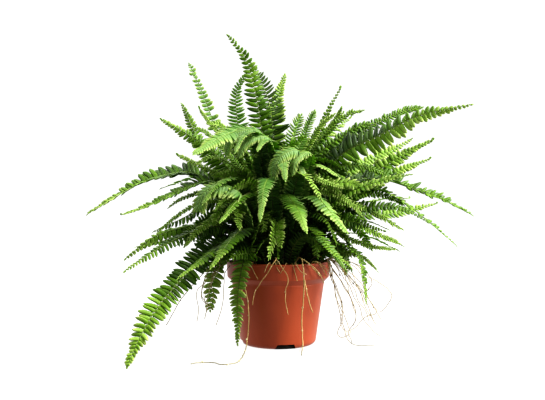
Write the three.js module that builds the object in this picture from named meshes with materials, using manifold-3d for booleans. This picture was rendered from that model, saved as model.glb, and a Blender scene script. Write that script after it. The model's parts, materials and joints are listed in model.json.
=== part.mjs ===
// A Boston fern in a plastic nursery pot: pot, soil, crown, fronds and runners.
// Millimetres, +Z up. The origin is the middle of the pot's flat underside.
import * as THREE from 'three';
import { mergeVertices } from 'three/addons/utils/BufferGeometryUtils.js';
import Module from 'manifold-3d';

const wasm = await Module();
wasm.setup();

// ---- Driving dimensions ----

const clearance = 0.4;
const pot = {
  height: 133, rimRadius: 85, wall: 2.6, floor: 3, sides: 32,
  bandLow: 106, bandInset: 2, neckHeight: 98, neckRadius: 75, baseRadius: 62, cornerRadius: 8,
  lipDrop: 1.5, lipRound: 1, innerDrop: 0.4, innerRise: 1, innerCorner: 3,
};
// The drains are notches in the pot's lower edge.
const drain = { count: 4, toward: 281, width: 32, height: 5.3, flare: 4.5, depth: 13, inFront: 2, below: 1 };
const soil = {
  edgeHeight: 118, middleHeight: 123, roughness: 1.2, rings: [0.72, 0.36], overBand: 2, seed: 7,
};
const crown = { radius: 9.5, height: 17, sides: 10, profile: [[0.8, 0], [1, 0.3], [0.7, 0.75]] };
const foot = { depth: 9, holeDepth: 11, stand: 4, inner: 15, outer: 50, lowArch: 150, highArch: 480 };
// Shares of a rib's first span, out and up, that it has made where it curves over.
const rise = { out: 0.34, up: 0.62 };
const blade = {
  ribWidth: 2.4, ribThickness: 1.8, tipThickness: 0.7, tipShare: 0.6, turnedBy: 0.4,
  bare: 0.2, leafletPitch: 20.5, stemStep: 34, forwardLean: 0.3, lift: 0.12,
  unevenLength: 0.12, unevenLean: 0.06, unevenLift: 0.08, seed: 400,
};
const runner = { radius: 1.1, sides: 3, step: 17, stand: 12, play: 0.5 };
const bending = { rounds: 9, asideStep: 2, downStep: 1.6, directions: 8, jointVolume: 60 };

// Each frond node holds one frond, or two that grow from the same foot. Per frond: the compass direction
// it grows in (0 = +X, 90 = +Y), the length of its longest leaflets, the turn of its blade about its rib,
// how far its leaflets lift, and the points that its rib passes after the foot, each as [distance from the
// pot's axis, height, degrees aside].
const fronds = {
  // the longest ones, which set the outline
  frond_far_right: [
    { toward: -10, leaflet: 18, turn: 8, lift: 0.3,
      through: [[126, 264], [168, 265], [213, 251], [260, 233], [307, 208]] },
  ],
  frond_great_right: [
    { toward: -20, leaflet: 27, turn: 74, through: [[105, 302], [168, 332], [229, 359], [304, 371]] },
  ],
  frond_tall: [
    { toward: 205, leaflet: 21, turn: -110, through: [[31, 355], [42, 412], [58, 463], [88, 495]] },
  ],
  frond_great_left: [
    { toward: 176, leaflet: 20, turn: -30, lift: 0.3,
      through: [[138, 277], [190, 276], [257, 249], [322, 210]] },
  ],
  frond_hanging_great: [
    { toward: 222, leaflet: 25, turn: -42,
      through: [[112, 166], [152, 145], [193, 111], [230, 75], [256, 38], [273, 5]] },
  ],
  frond_hanging_front: [
    { toward: 239, leaflet: 13, through: [[70, 160], [93, 150], [115, 99], [118, 18]] },
  ],
  frond_hanging_left: [
    { toward: 213, leaflet: 12, through: [[76, 162], [98, 148], [109, 115], [115, 58]] },
  ],
  frond_second_left: [
    { toward: 188, leaflet: 15, turn: -26, lift: 0.2,
      through: [[100, 262], [147, 254], [207, 224], [251, 208]] },
  ],
  frond_low_right: [
    { toward: -16, leaflet: 18, turn: 10,
      through: [[130, 248], [173, 244], [212, 221], [253, 186], [281, 161]] },
  ],
  frond_second_right: [
    { toward: -1, leaflet: 16, turn: 52, through: [[120, 250], [174, 287], [220, 315], [258, 333]] },
  ],
  frond_middle_left: [
    { toward: 200, leaflet: 17, turn: -42, through: [[96, 196], [150, 190], [206, 172], [245, 142]] },
  ],
  frond_crozier_right: [
    { toward: 10, leaflet: 9, turn: 60, through: [[65, 333], [89, 389], [108, 423]] },
  ],
  frond_pale_left: [
    { toward: 170, leaflet: 10, turn: -65, through: [[102, 346], [114, 375], [133, 423], [154, 466]] },
  ],
  // tall ones in the middle
  frond_tall_back: [
    { toward: 130, leaflet: 17, turn: -38, through: [[15, 358], [22, 395], [39, 430], [72, 474]] },
  ],
  frond_tall_centre: [
    { toward: 95, leaflet: 21, turn: -5, through: [[26, 330, 10], [38, 395], [61, 456, -17]] },
  ],
  frond_upright_left: [
    { toward: 140, leaflet: 17, turn: -48, through: [[80, 320], [94, 385], [94, 428], [80, 456, -6]] },
  ],
  frond_side_left: [
    { toward: 165, leaflet: 15, turn: -76, through: [[138, 320], [162, 365], [180, 399]] },
    { toward: 190, leaflet: 15, turn: -68, through: [[112, 313], [153, 341], [191, 361]] },
  ],
  frond_young_right: [
    { toward: 24, leaflet: 11, turn: 45, through: [[79, 332], [105, 365], [126, 387]] },
    { toward: 44, leaflet: 14, turn: 25, through: [[101, 335], [158, 372], [194, 394]] },
  ],
  frond_young_centre: [
    { toward: 304, leaflet: 12, through: [[34, 300], [46, 335], [60, 365]] },
    { toward: 334, leaflet: 11, turn: 20, through: [[38, 300], [50, 345], [64, 374]] },
  ],
  // on the right
  frond_pale_right: [
    { toward: 20, leaflet: 16, turn: 60, through: [[110, 272], [182, 309], [226, 328], [258, 346]] },
  ],
  frond_inner_right: [
    { toward: 8, leaflet: 15, turn: 52, through: [[110, 228], [182, 270], [223, 289], [264, 305]] },
  ],
  frond_broad_right: [
    { toward: -30, leaflet: 15, turn: 45, through: [[110, 234], [150, 250], [186, 259], [226, 266]] },
    { toward: -40, leaflet: 18, turn: 40, through: [[94, 256], [135, 260], [182, 266]] },
  ],
  frond_level_right: [
    { toward: 14, leaflet: 16, turn: 38, through: [[130, 204], [197, 210], [240, 218], [290, 229]] },
    { toward: 26, leaflet: 15, through: [[120, 218], [200, 236], [272, 240]] },
  ],
  frond_comb_right: [
    { toward: -24, leaflet: 17, turn: 10, through: [[110, 208], [165, 221], [206, 217], [242, 197]] },
    { toward: -34, leaflet: 16, turn: 40, through: [[86, 196], [132, 198], [187, 184]] },
  ],
  frond_under_right: [
    { toward: -18, leaflet: 15, turn: 8, through: [[96, 182], [140, 186], [172, 172], [202, 160]] },
    { toward: 8, leaflet: 13, through: [[112, 178], [150, 173], [208, 147]] },
  ],
  frond_hanging_right: [
    { toward: -33, leaflet: 13, through: [[100, 165], [139, 151], [153, 120], [157, 76]] },
    { toward: -6, leaflet: 14, through: [[92, 158], [122, 154], [163, 119]] },
  ],
  // on the left
  frond_rear_left: [
    { toward: 163, leaflet: 17, turn: -42, through: [[84, 232], [124, 228], [168, 205], [228, 180]] },
  ],
  frond_low_left: [
    { toward: 209, leaflet: 15, turn: -36, through: [[112, 190], [168, 178], [228, 150], [262, 129]] },
    { toward: 193, leaflet: 15, through: [[96, 168], [144, 165], [191, 147], [236, 130]] },
  ],
  frond_bright_left: [
    { toward: 230, leaflet: 15, through: [[100, 170], [145, 157], [179, 140], [211, 123]] },
    { toward: 241, leaflet: 17, through: [[86, 188], [127, 178], [186, 137]] },
  ],
  // to the front
  frond_front_long: [
    { toward: 237, leaflet: 17, turn: 10, through: [[77, 337], [139, 325], [188, 302], [212, 290]] },
  ],
  frond_front_right: [
    { toward: 281, leaflet: 18, through: [[52, 240], [106, 227], [152, 210], [190, 184]] },
  ],
  frond_front_middle: [
    { toward: 262, leaflet: 18, through: [[90, 260], [150, 246], [170, 222], [186, 200]] },
  ],
  frond_front_pale: [
    { toward: 246, leaflet: 15, through: [[84, 330], [128, 326], [158, 298]] },
    { toward: 259, leaflet: 14, through: [[70, 314], [118, 314], [166, 290]] },
  ],
  frond_front_left: [
    { toward: 233, leaflet: 16, through: [[107, 262], [150, 252], [179, 223]] },
    { toward: 245, leaflet: 16, through: [[70, 238], [118, 232], [178, 192]] },
  ],
  frond_front_high: [
    { toward: 272, leaflet: 16, through: [[56, 308], [106, 288], [146, 258]] },
    { toward: 291, leaflet: 15, through: [[54, 290], [91, 284], [112, 262]] },
  ],
  frond_front_side: [
    { toward: -56, leaflet: 16, through: [[60, 228], [98, 236], [146, 203], [172, 182]] },
    { toward: -57, leaflet: 14, through: [[70, 280], [112, 278], [150, 254]] },
  ],
  frond_front_folded: [
    { toward: 302, leaflet: 13, through: [[62, 188], [100, 184], [150, 152], [187, 135]] },
    { toward: -11, leaflet: 13, through: [[90, 202], [130, 216], [172, 208]] },
  ],
  // behind
  frond_back_high_right: [
    { toward: 62, leaflet: 17, through: [[50, 280], [100, 332], [180, 350]] },
    { toward: 86, leaflet: 16, through: [[70, 270], [130, 306], [220, 304]] },
  ],
  frond_back_high_left: [{ toward: 114, leaflet: 17, through: [[46, 280], [90, 326], [170, 342]] }],
  frond_back_mid_a: [{ toward: 42, leaflet: 18, through: [[90, 250], [160, 280], [256, 262]] }],
  frond_back_mid_b: [{ toward: 70, leaflet: 18, through: [[86, 228], [160, 254], [262, 218]] }],
  frond_back_mid_c: [{ toward: 98, leaflet: 19, through: [[96, 238], [180, 258], [290, 226]] }],
  frond_back_mid_d: [{ toward: 126, leaflet: 18, through: [[90, 250], [170, 272], [272, 240]] }],
  frond_back_mid_e: [{ toward: 150, leaflet: 17, through: [[90, 256], [160, 272], [258, 246]] }],
  frond_back_low_right: [
    { toward: 52, leaflet: 17, through: [[90, 190], [150, 196], [240, 148]] },
    { toward: 84, leaflet: 18, through: [[90, 184], [160, 184], [250, 120]] },
  ],
  frond_back_low_left: [
    { toward: 115, leaflet: 17, through: [[84, 178], [140, 176], [214, 104]] },
    { toward: 140, leaflet: 17, through: [[90, 192], [160, 196], [250, 152]] },
  ],
};

// Thin stems that grow from among the fronds, lie over the rim and hang outside the pot. Each has a root
// in the soil, a main strand and its forks, with the share of the main strand that a fork starts at. The
// points are [direction, distance from the axis, height].
const onGround = 1.5;
const runners = {
  runner_long: {
    root: [238, 64],
    main: [[238, 80, 143], [238, 93, 138], [236, 93, 112], [240, 91, 70], [240, 91, 36], [239, 94, 10],
      [243, 114, 2.6], [248, 160, onGround], [244, 177, onGround], [236, 174, onGround],
      [232, 198, onGround]],
    forks: [{ at: 0.19, through: [[231, 92, 78], [227, 92, 60]] }],
  },
  runner_front: {
    root: [268, 62],
    main: [[268, 80, 143], [266, 93, 137], [257, 93, 114], [247, 92, 90], [245, 92, 72]],
    forks: [{ at: 0.4, through: [[279, 93, 112], [276, 92, 88], [279, 92, 59]] }],
  },
  runner_centre: {
    root: [295, 62],
    main: [[294, 80, 143], [293, 93, 137], [294, 93, 110], [294, 92, 79], [292, 92, 44], [293, 94, 14],
      [288, 108, onGround]],
    forks: [
      { at: 0.36, through: [[299, 93, 80], [304, 93, 60]] },
      { at: 0.22, through: [[309, 95, 122], [317, 96, 103]] },
    ],
  },
  runner_right_near: {
    root: [-38, 62],
    main: [[-37, 80, 143], [-33, 94, 137], [-32, 102, 102], [-32, 113, 76], [-32, 119, 54], [-32, 130, 28]],
    forks: [{ at: 0.27, through: [[-26, 110, 104], [-26, 125, 80], [-26, 134, 52], [-26, 124, 32]] }],
  },
  runner_right_far: {
    root: [-22, 62],
    main: [[-22, 80, 143], [-22, 98, 136], [-22, 119, 113], [-22, 138, 91], [-22, 149, 68], [-22, 158, 44]],
    forks: [
      { at: 0.45, through: [[-19, 144, 84], [-20, 158, 64], [-20, 169, 46]] },
      { at: 0.25, through: [[-14, 119, 133], [-14, 141, 121], [-14, 153, 100], [-14, 144, 86]] },
    ],
  },
  runner_left: {
    root: [208, 62],
    main: [[208, 80, 143], [207, 94, 138], [205, 118, 126], [205, 139, 107], [205, 165, 77], [205, 187, 41]],
    forks: [
      { at: 0.42, through: [[211, 134, 104], [213, 140, 90], [213, 130, 72]] },
      { at: 0.3, through: [[220, 120, 122], [222, 138, 100], [222, 142, 75], [222, 147, 54]] },
    ],
  },
  runner_back: {
    root: [100, 62],
    main: [[98, 80, 143], [96, 93, 137], [94, 93, 104], [97, 93, 60], [94, 94, 22]],
    forks: [{ at: 0.36, through: [[108, 96, 108], [116, 104, 66]] }],
  },
};

const colours = {
  terracotta: '#b4492c', peat: '#2a1d14', scale: '#6b4a2c', straw: '#cbb988',
  leafDark: '#1f4a14', leafMid: '#3f7a1f', leafYoung: '#86b63a',
};

// ---- Small helpers ----

const polar = (direction, distance, height) => {
  const angle = THREE.MathUtils.degToRad(direction);
  return new THREE.Vector3(distance * Math.cos(angle), distance * Math.sin(angle), height);
};

const smooth = (points) => new THREE.CatmullRomCurve3(points, false, 'centripetal');

const seededRandom = (seed) => {
  let state = seed;
  return () => {
    state = (state * 1664525 + 1013904223) >>> 0;
    return state / 4294967296;
  };
};

// One closed solid from a geometry: shared vertices merged, slivers at a lathe's axis dropped.
function toSolid(geometry) {
  const bare = geometry.clone();
  bare.deleteAttribute('normal');
  bare.deleteAttribute('uv');
  const merged = mergeVertices(bare, 1e-4);
  const source = merged.index.array;
  const corners = [];
  for (let i = 0; i < source.length; i += 3) {
    const [a, b, c] = [source[i], source[i + 1], source[i + 2]];
    if (a !== b && b !== c && c !== a) corners.push(a, b, c);
  }
  return new wasm.Manifold(new wasm.Mesh({
    numProp: 3,
    vertProperties: new Float32Array(merged.attributes.position.array),
    triVerts: new Uint32Array(corners),
  }));
}

function toGeometry(solid) {
  const mesh = solid.getMesh();
  const geometry = new THREE.BufferGeometry();
  geometry.setAttribute('position', new THREE.BufferAttribute(mesh.vertProperties, 3));
  geometry.setIndex(new THREE.BufferAttribute(mesh.triVerts, 1));
  geometry.computeVertexNormals();
  return geometry;
}

const outline = (points) => points.map(([x, y]) => new THREE.Vector2(x, y));

// A turned body about the Z axis, from an outline of [radius, height] points.
const turned = (profile, sides) => new THREE.LatheGeometry(profile, sides).rotateX(Math.PI / 2);

// ---- Pot ----

// The radius of the pot's outside between its lower corner and its neck.
const sideSlope = (pot.neckRadius - pot.baseRadius) / (pot.neckHeight - pot.cornerRadius);
const sideRadius = (height) => pot.baseRadius + sideSlope * (height - pot.cornerRadius);

function potSolid() {
  const { height, rimRadius, wall, floor, bandLow, bandInset, neckHeight, neckRadius, baseRadius } = pot;
  const corner = pot.cornerRadius;
  const cornerCut = corner * (1 - Math.SQRT1_2);
  const profile = outline([
    [0, 0],
    [baseRadius - corner, 0],
    [baseRadius - cornerCut, cornerCut],
    [baseRadius, corner],
    [neckRadius, neckHeight],
    [rimRadius - bandInset, bandLow],
    [rimRadius, height - pot.lipDrop],
    [rimRadius - pot.lipRound, height],
    [rimRadius - wall, height - pot.innerDrop],
    [rimRadius - bandInset - wall, bandLow + pot.innerRise],
    [neckRadius - wall, neckHeight + pot.innerRise],
    [sideRadius(floor + pot.innerCorner) - wall, floor + pot.innerCorner],
    [baseRadius - wall - pot.innerCorner, floor],
    [0, floor],
  ]);
  const notch = new THREE.Shape(outline([
    [-drain.width / 2, -drain.below], [drain.width / 2, -drain.below],
    [drain.width / 2 - drain.flare, drain.height], [-drain.width / 2 + drain.flare, drain.height],
  ]));
  let body = toSolid(turned(profile, pot.sides));
  for (let i = 0; i < drain.count; i += 1) {
    const cutter = new THREE.ExtrudeGeometry(notch, { depth: drain.depth, bevelEnabled: false });
    cutter.rotateX(Math.PI / 2);
    cutter.translate(0, -baseRadius + drain.depth - drain.inFront, 0);
    cutter.rotateZ(THREE.MathUtils.degToRad(drain.toward - 270 + (i * 360) / drain.count));
    body = body.subtract(toSolid(cutter));
  }
  return body;
}

// ---- Soil, with a plain hole for each foot ----

const bandBore = pot.rimRadius - pot.bandInset - pot.wall;
const soilEdge = bandBore + 0.2;
const soilHeight = (distance) => (
  THREE.MathUtils.lerp(soil.middleHeight, soil.edgeHeight, (distance / soilEdge) ** 2)
);

function soilSolid(holes) {
  const top = [1, ...soil.rings, 0].map((share) => [share * soilEdge, soilHeight(share * soilEdge)]);
  const lowCorner = pot.floor + pot.innerCorner + 2;
  const profile = outline([
    [0, pot.floor + clearance],
    [pot.baseRadius - pot.wall - pot.innerCorner - clearance, pot.floor + clearance],
    [sideRadius(lowCorner) - pot.wall - 2 * clearance, lowCorner],
    [pot.neckRadius - pot.wall - clearance, pot.neckHeight + pot.innerRise + clearance],
    [bandBore - clearance, pot.bandLow + soil.overBand],
    ...top,
  ]);
  const geometry = turned(profile, pot.sides);
  const random = seededRandom(soil.seed);
  const position = geometry.attributes.position;
  const uneven = () => (random() - 0.5) * 2 * soil.roughness;
  const bumps = profile.map(() => Array.from({ length: pot.sides }, uneven));
  const firstRing = profile.length - top.length + 1;
  for (let i = 0; i < position.count; i += 1) {
    const ring = i % profile.length;
    const side = Math.floor(i / profile.length) % pot.sides;
    const onTop = ring >= firstRing && ring < profile.length - 1;
    if (onTop) position.setZ(i, position.getZ(i) + bumps[ring][side]);
  }
  return holes.reduce((body, hole) => body.subtract(toSolid(hole)), toSolid(geometry));
}

// ---- Crown: the scaly knob that the fronds grow around ----

function crownSolid() {
  const shares = [[0, 0], ...crown.profile, [0, 1]];
  const base = soilHeight(0) + clearance;
  const profile = shares.map(([out, up]) => [crown.radius * out, base + crown.height * up]);
  return toSolid(turned(outline(profile), crown.sides));
}

// ---- Fronds ----

// A foot stands further out the lower its frond arches, so that the fronds nest like the leaves of a bud.
function footOf(frond) {
  const arch = Math.max(...frond.through.map(([, height]) => height));
  const share = THREE.MathUtils.clamp((arch - foot.lowArch) / (foot.highArch - foot.lowArch), 0, 1);
  return { toward: frond.toward, distance: THREE.MathUtils.lerp(foot.outer, foot.inner, share) };
}

// The rib above the soil. `bend` turns it aside about the pot's axis and tilts it down about its foot.
function ribCurve(frond, stand, bend) {
  const start = soilHeight(stand.distance) + foot.stand;
  const [firstDistance, firstHeight] = frond.through[0];
  const curvingOver = [
    THREE.MathUtils.lerp(stand.distance, firstDistance, rise.out),
    THREE.MathUtils.lerp(start, firstHeight, rise.up),
  ];
  const tilt = THREE.MathUtils.degToRad(bend.down);
  const path = [curvingOver, ...frond.through].map(([distance, height, aside = 0]) => {
    const out = distance - stand.distance;
    const up = height - start;
    return polar(
      frond.toward + aside + bend.aside,
      stand.distance + out * Math.cos(tilt) + up * Math.sin(tilt),
      start + up * Math.cos(tilt) - out * Math.sin(tilt),
    );
  });
  return smooth([polar(stand.toward, stand.distance, start), ...path]);
}

// The length of the leaflets along the blade, from 0 at its start to 1 at its tip.
const leafletShare = (along) => Math.min(1, 0.5 + along * 3) * (1 - along ** 2.6) ** 0.75;

// One thin blade with its leaflets cut to the rib, on a stem of the rib's own section. `swell` makes it
// thicker all round, to test how clear it stands of another blade.
function frondSolid(frond, stand, bend, { swell = 0, rooted = true } = {}) {
  const random = seededRandom(Math.round(frond.toward * 7 + frond.through[0][1]) + blade.seed);
  const uneven = (most) => (random() - 0.5) * 2 * most;
  const curve = ribCurve(frond, stand, bend);
  const length = curve.getLength();
  const bare = length * blade.bare;
  const pairs = Math.round((length - bare) / blade.leafletPitch);
  const stems = Math.max(2, Math.round(bare / blade.stemStep));
  const outward = THREE.MathUtils.degToRad(frond.toward + bend.aside);
  const level = new THREE.Vector3(Math.sin(outward), -Math.cos(outward), 0);
  const tipHalf = blade.tipThickness / 2 + swell;
  const vertices = [];
  const corners = [];

  const frameAt = (share) => {
    const along = curve.getTangentAt(share);
    const turned = THREE.MathUtils.smoothstep(share, 0, blade.turnedBy);
    const turn = THREE.MathUtils.degToRad(frond.turn ?? 0) * turned;
    const side = level.clone().addScaledVector(along, -level.dot(along)).normalize();
    side.applyAxisAngle(along, turn);
    const upper = new THREE.Vector3().crossVectors(side, along);
    return { point: curve.getPointAt(share), along, side, upper };
  };
  const place = (point, side, sideBy, upper, upperBy) => {
    vertices.push(...point.clone().addScaledVector(side, sideBy).addScaledVector(upper, upperBy));
    return vertices.length / 3 - 1;
  };
  const quad = (a, b, c, d) => corners.push(a, b, c, a, c, d);
  const section = ({ point, side, upper }, thin) => {
    const width = blade.ribWidth / 2 + swell;
    const thickness = (blade.ribThickness / 2) * thin + swell;
    const corner = ([s, u]) => place(point, side, s * width, upper, u * thickness);
    return [[1, 1], [-1, 1], [-1, -1], [1, -1]].map(corner);
  };

  const upright = {
    point: curve.getPointAt(0),
    side: level,
    upper: new THREE.Vector3(-Math.cos(outward), -Math.sin(outward), 0),
  };
  const buried = polar(stand.toward, stand.distance, soilHeight(stand.distance) - foot.depth);
  let lower = section(rooted ? { ...upright, point: buried } : upright, 1);
  corners.push(lower[0], lower[1], lower[2], lower[0], lower[2], lower[3]);
  const raise = (next) => {
    for (let k = 0; k < 4; k += 1) quad(lower[k], next[k], next[(k + 1) % 4], lower[(k + 1) % 4]);
    lower = next;
  };
  if (rooted) raise(section(upright, 1));
  for (let i = 1; i <= stems; i += 1) raise(section(frameAt(((i / stems) * bare) / length), 1));

  const bladeShare = (i) => (bare + ((length - bare) * i) / (pairs + blade.tipShare)) / length;
  for (let i = 1; i <= pairs; i += 1) {
    const next = section(frameAt(bladeShare(i)), THREE.MathUtils.lerp(1, blade.tipShare, i / pairs));
    const middle = frameAt(bladeShare(i - 0.5));
    const reach = frond.leaflet * leafletShare((i - 0.5) / pairs) + swell * 2;
    const tips = [1, -1].map((hand) => {
      const tip = middle.point.clone()
        .addScaledVector(middle.side, hand * (reach * (1 + uneven(blade.unevenLength)) + blade.ribWidth / 2))
        .addScaledVector(middle.along, reach * (blade.forwardLean + uneven(blade.unevenLean)))
        .addScaledVector(middle.upper, reach * ((frond.lift ?? blade.lift) + uneven(blade.unevenLift)));
      return [tipHalf, -tipHalf].map((upperBy) => place(tip, middle.side, 0, middle.upper, upperBy));
    });
    const [[rightTop, rightLow], [leftTop, leftLow]] = tips;
    quad(lower[0], next[0], next[1], lower[1]);
    quad(lower[2], next[2], next[3], lower[3]);
    corners.push(lower[0], rightTop, next[0], lower[3], next[3], rightLow);
    quad(lower[0], lower[3], rightLow, rightTop);
    quad(rightTop, rightLow, next[3], next[0]);
    corners.push(lower[1], next[1], leftTop, lower[2], leftLow, next[2]);
    quad(lower[2], lower[1], leftTop, leftLow);
    quad(leftTop, next[1], next[2], leftLow);
    lower = next;
  }
  const end = frameAt(1);
  const top = place(end.point, end.along, swell, end.upper, tipHalf);
  const low = place(end.point, end.along, swell, end.upper, -tipHalf);
  corners.push(lower[0], top, lower[1], lower[2], low, lower[3]);
  quad(lower[0], lower[3], low, top);
  quad(lower[1], top, low, lower[2]);

  const geometry = new THREE.BufferGeometry();
  geometry.setAttribute('position', new THREE.Float32BufferAttribute(vertices, 3));
  geometry.setIndex(corners);
  return toSolid(geometry);
}

// Where a frond can stand clear of everything placed before it: straight, or bent a little aside or down.
const bends = [{ aside: 0, down: 0 }];
for (let round = 1; round <= bending.rounds; round += 1) {
  for (let k = 0; k < bending.directions; k += 1) {
    const angle = (2 * Math.PI * k) / bending.directions;
    bends.push({
      aside: bending.asideStep * round * Math.cos(angle),
      down: bending.downStep * round * Math.sin(angle),
    });
  }
}

const boxesMeet = (a, b) => [0, 1, 2].every((k) => a.min[k] < b.max[k] && b.min[k] < a.max[k]);

const placed = [];

function standsClear(solid) {
  const box = solid.boundingBox();
  return placed.every((other) => !boxesMeet(box, other.box) || solid.intersect(other.solid).isEmpty());
}

const keep = (solid) => placed.push({ solid, box: solid.boundingBox() });

// The first frond of a node stands in the soil, and a second one springs from the first one's stem.
function frondNode(name, list) {
  let stand = footOf(list[0]);
  let solid = null;
  list.forEach((frond, i) => {
    const rooted = i === 0;
    const standFor = (bend) => (rooted ? { ...stand, toward: stand.toward + bend.aside } : stand);
    const bend = bends.find((one) => {
      const tested = frondSolid(frond, standFor(one), one, { swell: clearance / 2, rooted });
      return standsClear(tested) && (rooted || solid.intersect(tested).volume() < bending.jointVolume);
    });
    if (!bend) throw new Error(`frond ${i + 1} of ${name} finds no clear place`);
    stand = standFor(bend);
    const next = frondSolid(frond, stand, bend, { rooted });
    solid = solid ? solid.add(next) : next;
  });
  keep(solid);
  return { solid, stand };
}

// ---- Runners ----

const strandSteps = (curve) => Math.round(curve.getLength() / runner.step);

function strandSolid(curve) {
  const section = Array.from({ length: runner.sides }, (_, k) => {
    const angle = (2 * Math.PI * k) / runner.sides;
    return [runner.radius * Math.cos(angle), runner.radius * Math.sin(angle)];
  });
  return toSolid(new THREE.ExtrudeGeometry(new THREE.Shape(outline(section)), {
    steps: strandSteps(curve), bevelEnabled: false, extrudePath: curve,
  }));
}

function runnerSolid({ root: [direction, distance], main, forks }) {
  const ground = soilHeight(distance);
  const stem = smooth([
    polar(direction, distance, ground - foot.depth),
    polar(direction, distance, ground + runner.stand),
    ...main.map((point) => polar(...point)),
  ]);
  const steps = strandSteps(stem);
  return forks.reduce((solid, fork) => {
    const start = stem.getPointAt(Math.round(fork.at * steps) / steps);
    const path = [start, ...fork.through.map((point) => polar(...point))];
    return solid.add(strandSolid(smooth(path)));
  }, strandSolid(stem));
}

// ---- The plant ----

const holeFor = (direction, distance, outward, across) => {
  const hole = new THREE.BoxGeometry(outward + 2 * clearance, across + 2 * clearance, 2 * foot.holeDepth);
  hole.rotateZ(THREE.MathUtils.degToRad(direction));
  return hole.translate(...polar(direction, distance, soilHeight(distance)));
};

const plant = new THREE.Group();

function addPiece(name, solid, color, roughness) {
  const material = new THREE.MeshStandardMaterial({ color, roughness, metalness: 0 });
  const mesh = new THREE.Mesh(toGeometry(solid), material);
  mesh.name = name;
  plant.add(mesh);
}

const leafColour = (name) => {
  if (/pale|young|crozier|bright/.test(name)) return colours.leafYoung;
  return /back|rear|under|low|great/.test(name) ? colours.leafDark : colours.leafMid;
};

const potBody = potSolid();
const crownBody = crownSolid();
keep(potBody);
keep(crownBody);
addPiece('pot', potBody, colours.terracotta, 0.42);
addPiece('crown', crownBody, colours.scale, 0.9);

const holes = [];
for (const [name, spec] of Object.entries(runners)) {
  const body = runnerSolid(spec);
  keep(body);
  addPiece(name, body, colours.straw, 0.7);
  const width = 2 * (runner.radius + runner.play);
  holes.push(holeFor(...spec.root, width, width));
}
for (const [name, list] of Object.entries(fronds)) {
  const { solid, stand } = frondNode(name, list);
  addPiece(name, solid, leafColour(name), 0.5);
  holes.push(holeFor(stand.toward, stand.distance, blade.ribThickness, blade.ribWidth));
}
addPiece('soil', soilSolid(holes), colours.peat, 1);

export default plant;
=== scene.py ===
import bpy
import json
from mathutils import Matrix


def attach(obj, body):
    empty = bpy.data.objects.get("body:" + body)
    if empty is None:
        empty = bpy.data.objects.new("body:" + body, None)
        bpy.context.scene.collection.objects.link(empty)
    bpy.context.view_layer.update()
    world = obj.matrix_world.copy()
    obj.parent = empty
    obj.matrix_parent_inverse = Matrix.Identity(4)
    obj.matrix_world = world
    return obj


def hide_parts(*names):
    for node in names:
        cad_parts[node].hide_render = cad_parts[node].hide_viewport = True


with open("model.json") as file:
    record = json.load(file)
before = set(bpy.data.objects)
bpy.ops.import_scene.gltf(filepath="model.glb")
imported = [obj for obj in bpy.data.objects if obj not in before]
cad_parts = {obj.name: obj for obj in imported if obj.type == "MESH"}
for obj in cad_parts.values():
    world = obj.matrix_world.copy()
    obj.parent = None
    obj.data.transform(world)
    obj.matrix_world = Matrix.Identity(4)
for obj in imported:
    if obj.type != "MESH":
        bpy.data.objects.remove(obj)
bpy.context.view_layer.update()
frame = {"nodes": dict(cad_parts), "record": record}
print("frame loaded")

import heapq
import json
import math
import random

import bpy
import numpy as np
from mathutils import Vector

mm = 0.001


def polar(direction, distance, height):
    angle = math.radians(direction)
    return np.array([distance * math.cos(angle), distance * math.sin(angle), height]) * mm


def unit(v):
    return v / max(float(np.linalg.norm(v)), 1e-12)


def scatter(chances, size=1):
    return np.array([chances.gauss(0, size) for _ in range(3)])


def smooth(low, high, value):
    share = np.clip((value - low) / (high - low), 0, 1)
    return share * share * (3 - 2 * share)


def rounded(points, turns):
    # An outline with its corners rounded. A point is (x, y) or (x, y, radius).
    line = []
    for k, point in enumerate(points):
        here = np.array(point[:2], float)
        if len(point) == 2:
            line.append(here)
            continue
        before = unit(np.array(points[k - 1][:2], float) - here)
        after = unit(np.array(points[k + 1][:2], float) - here)
        half = math.acos(float(np.clip(before @ after, -1, 1))) / 2
        reach = point[2] / math.tan(half)
        centre = here + unit(before + after) * point[2] / math.sin(half)
        start, end = here + before * reach - centre, here + after * reach - centre
        for i in range(turns + 1):
            share = i / turns
            between = unit(start * (1 - share) + end * share)
            line.append(centre + between * point[2])
    return np.array(line)


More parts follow.
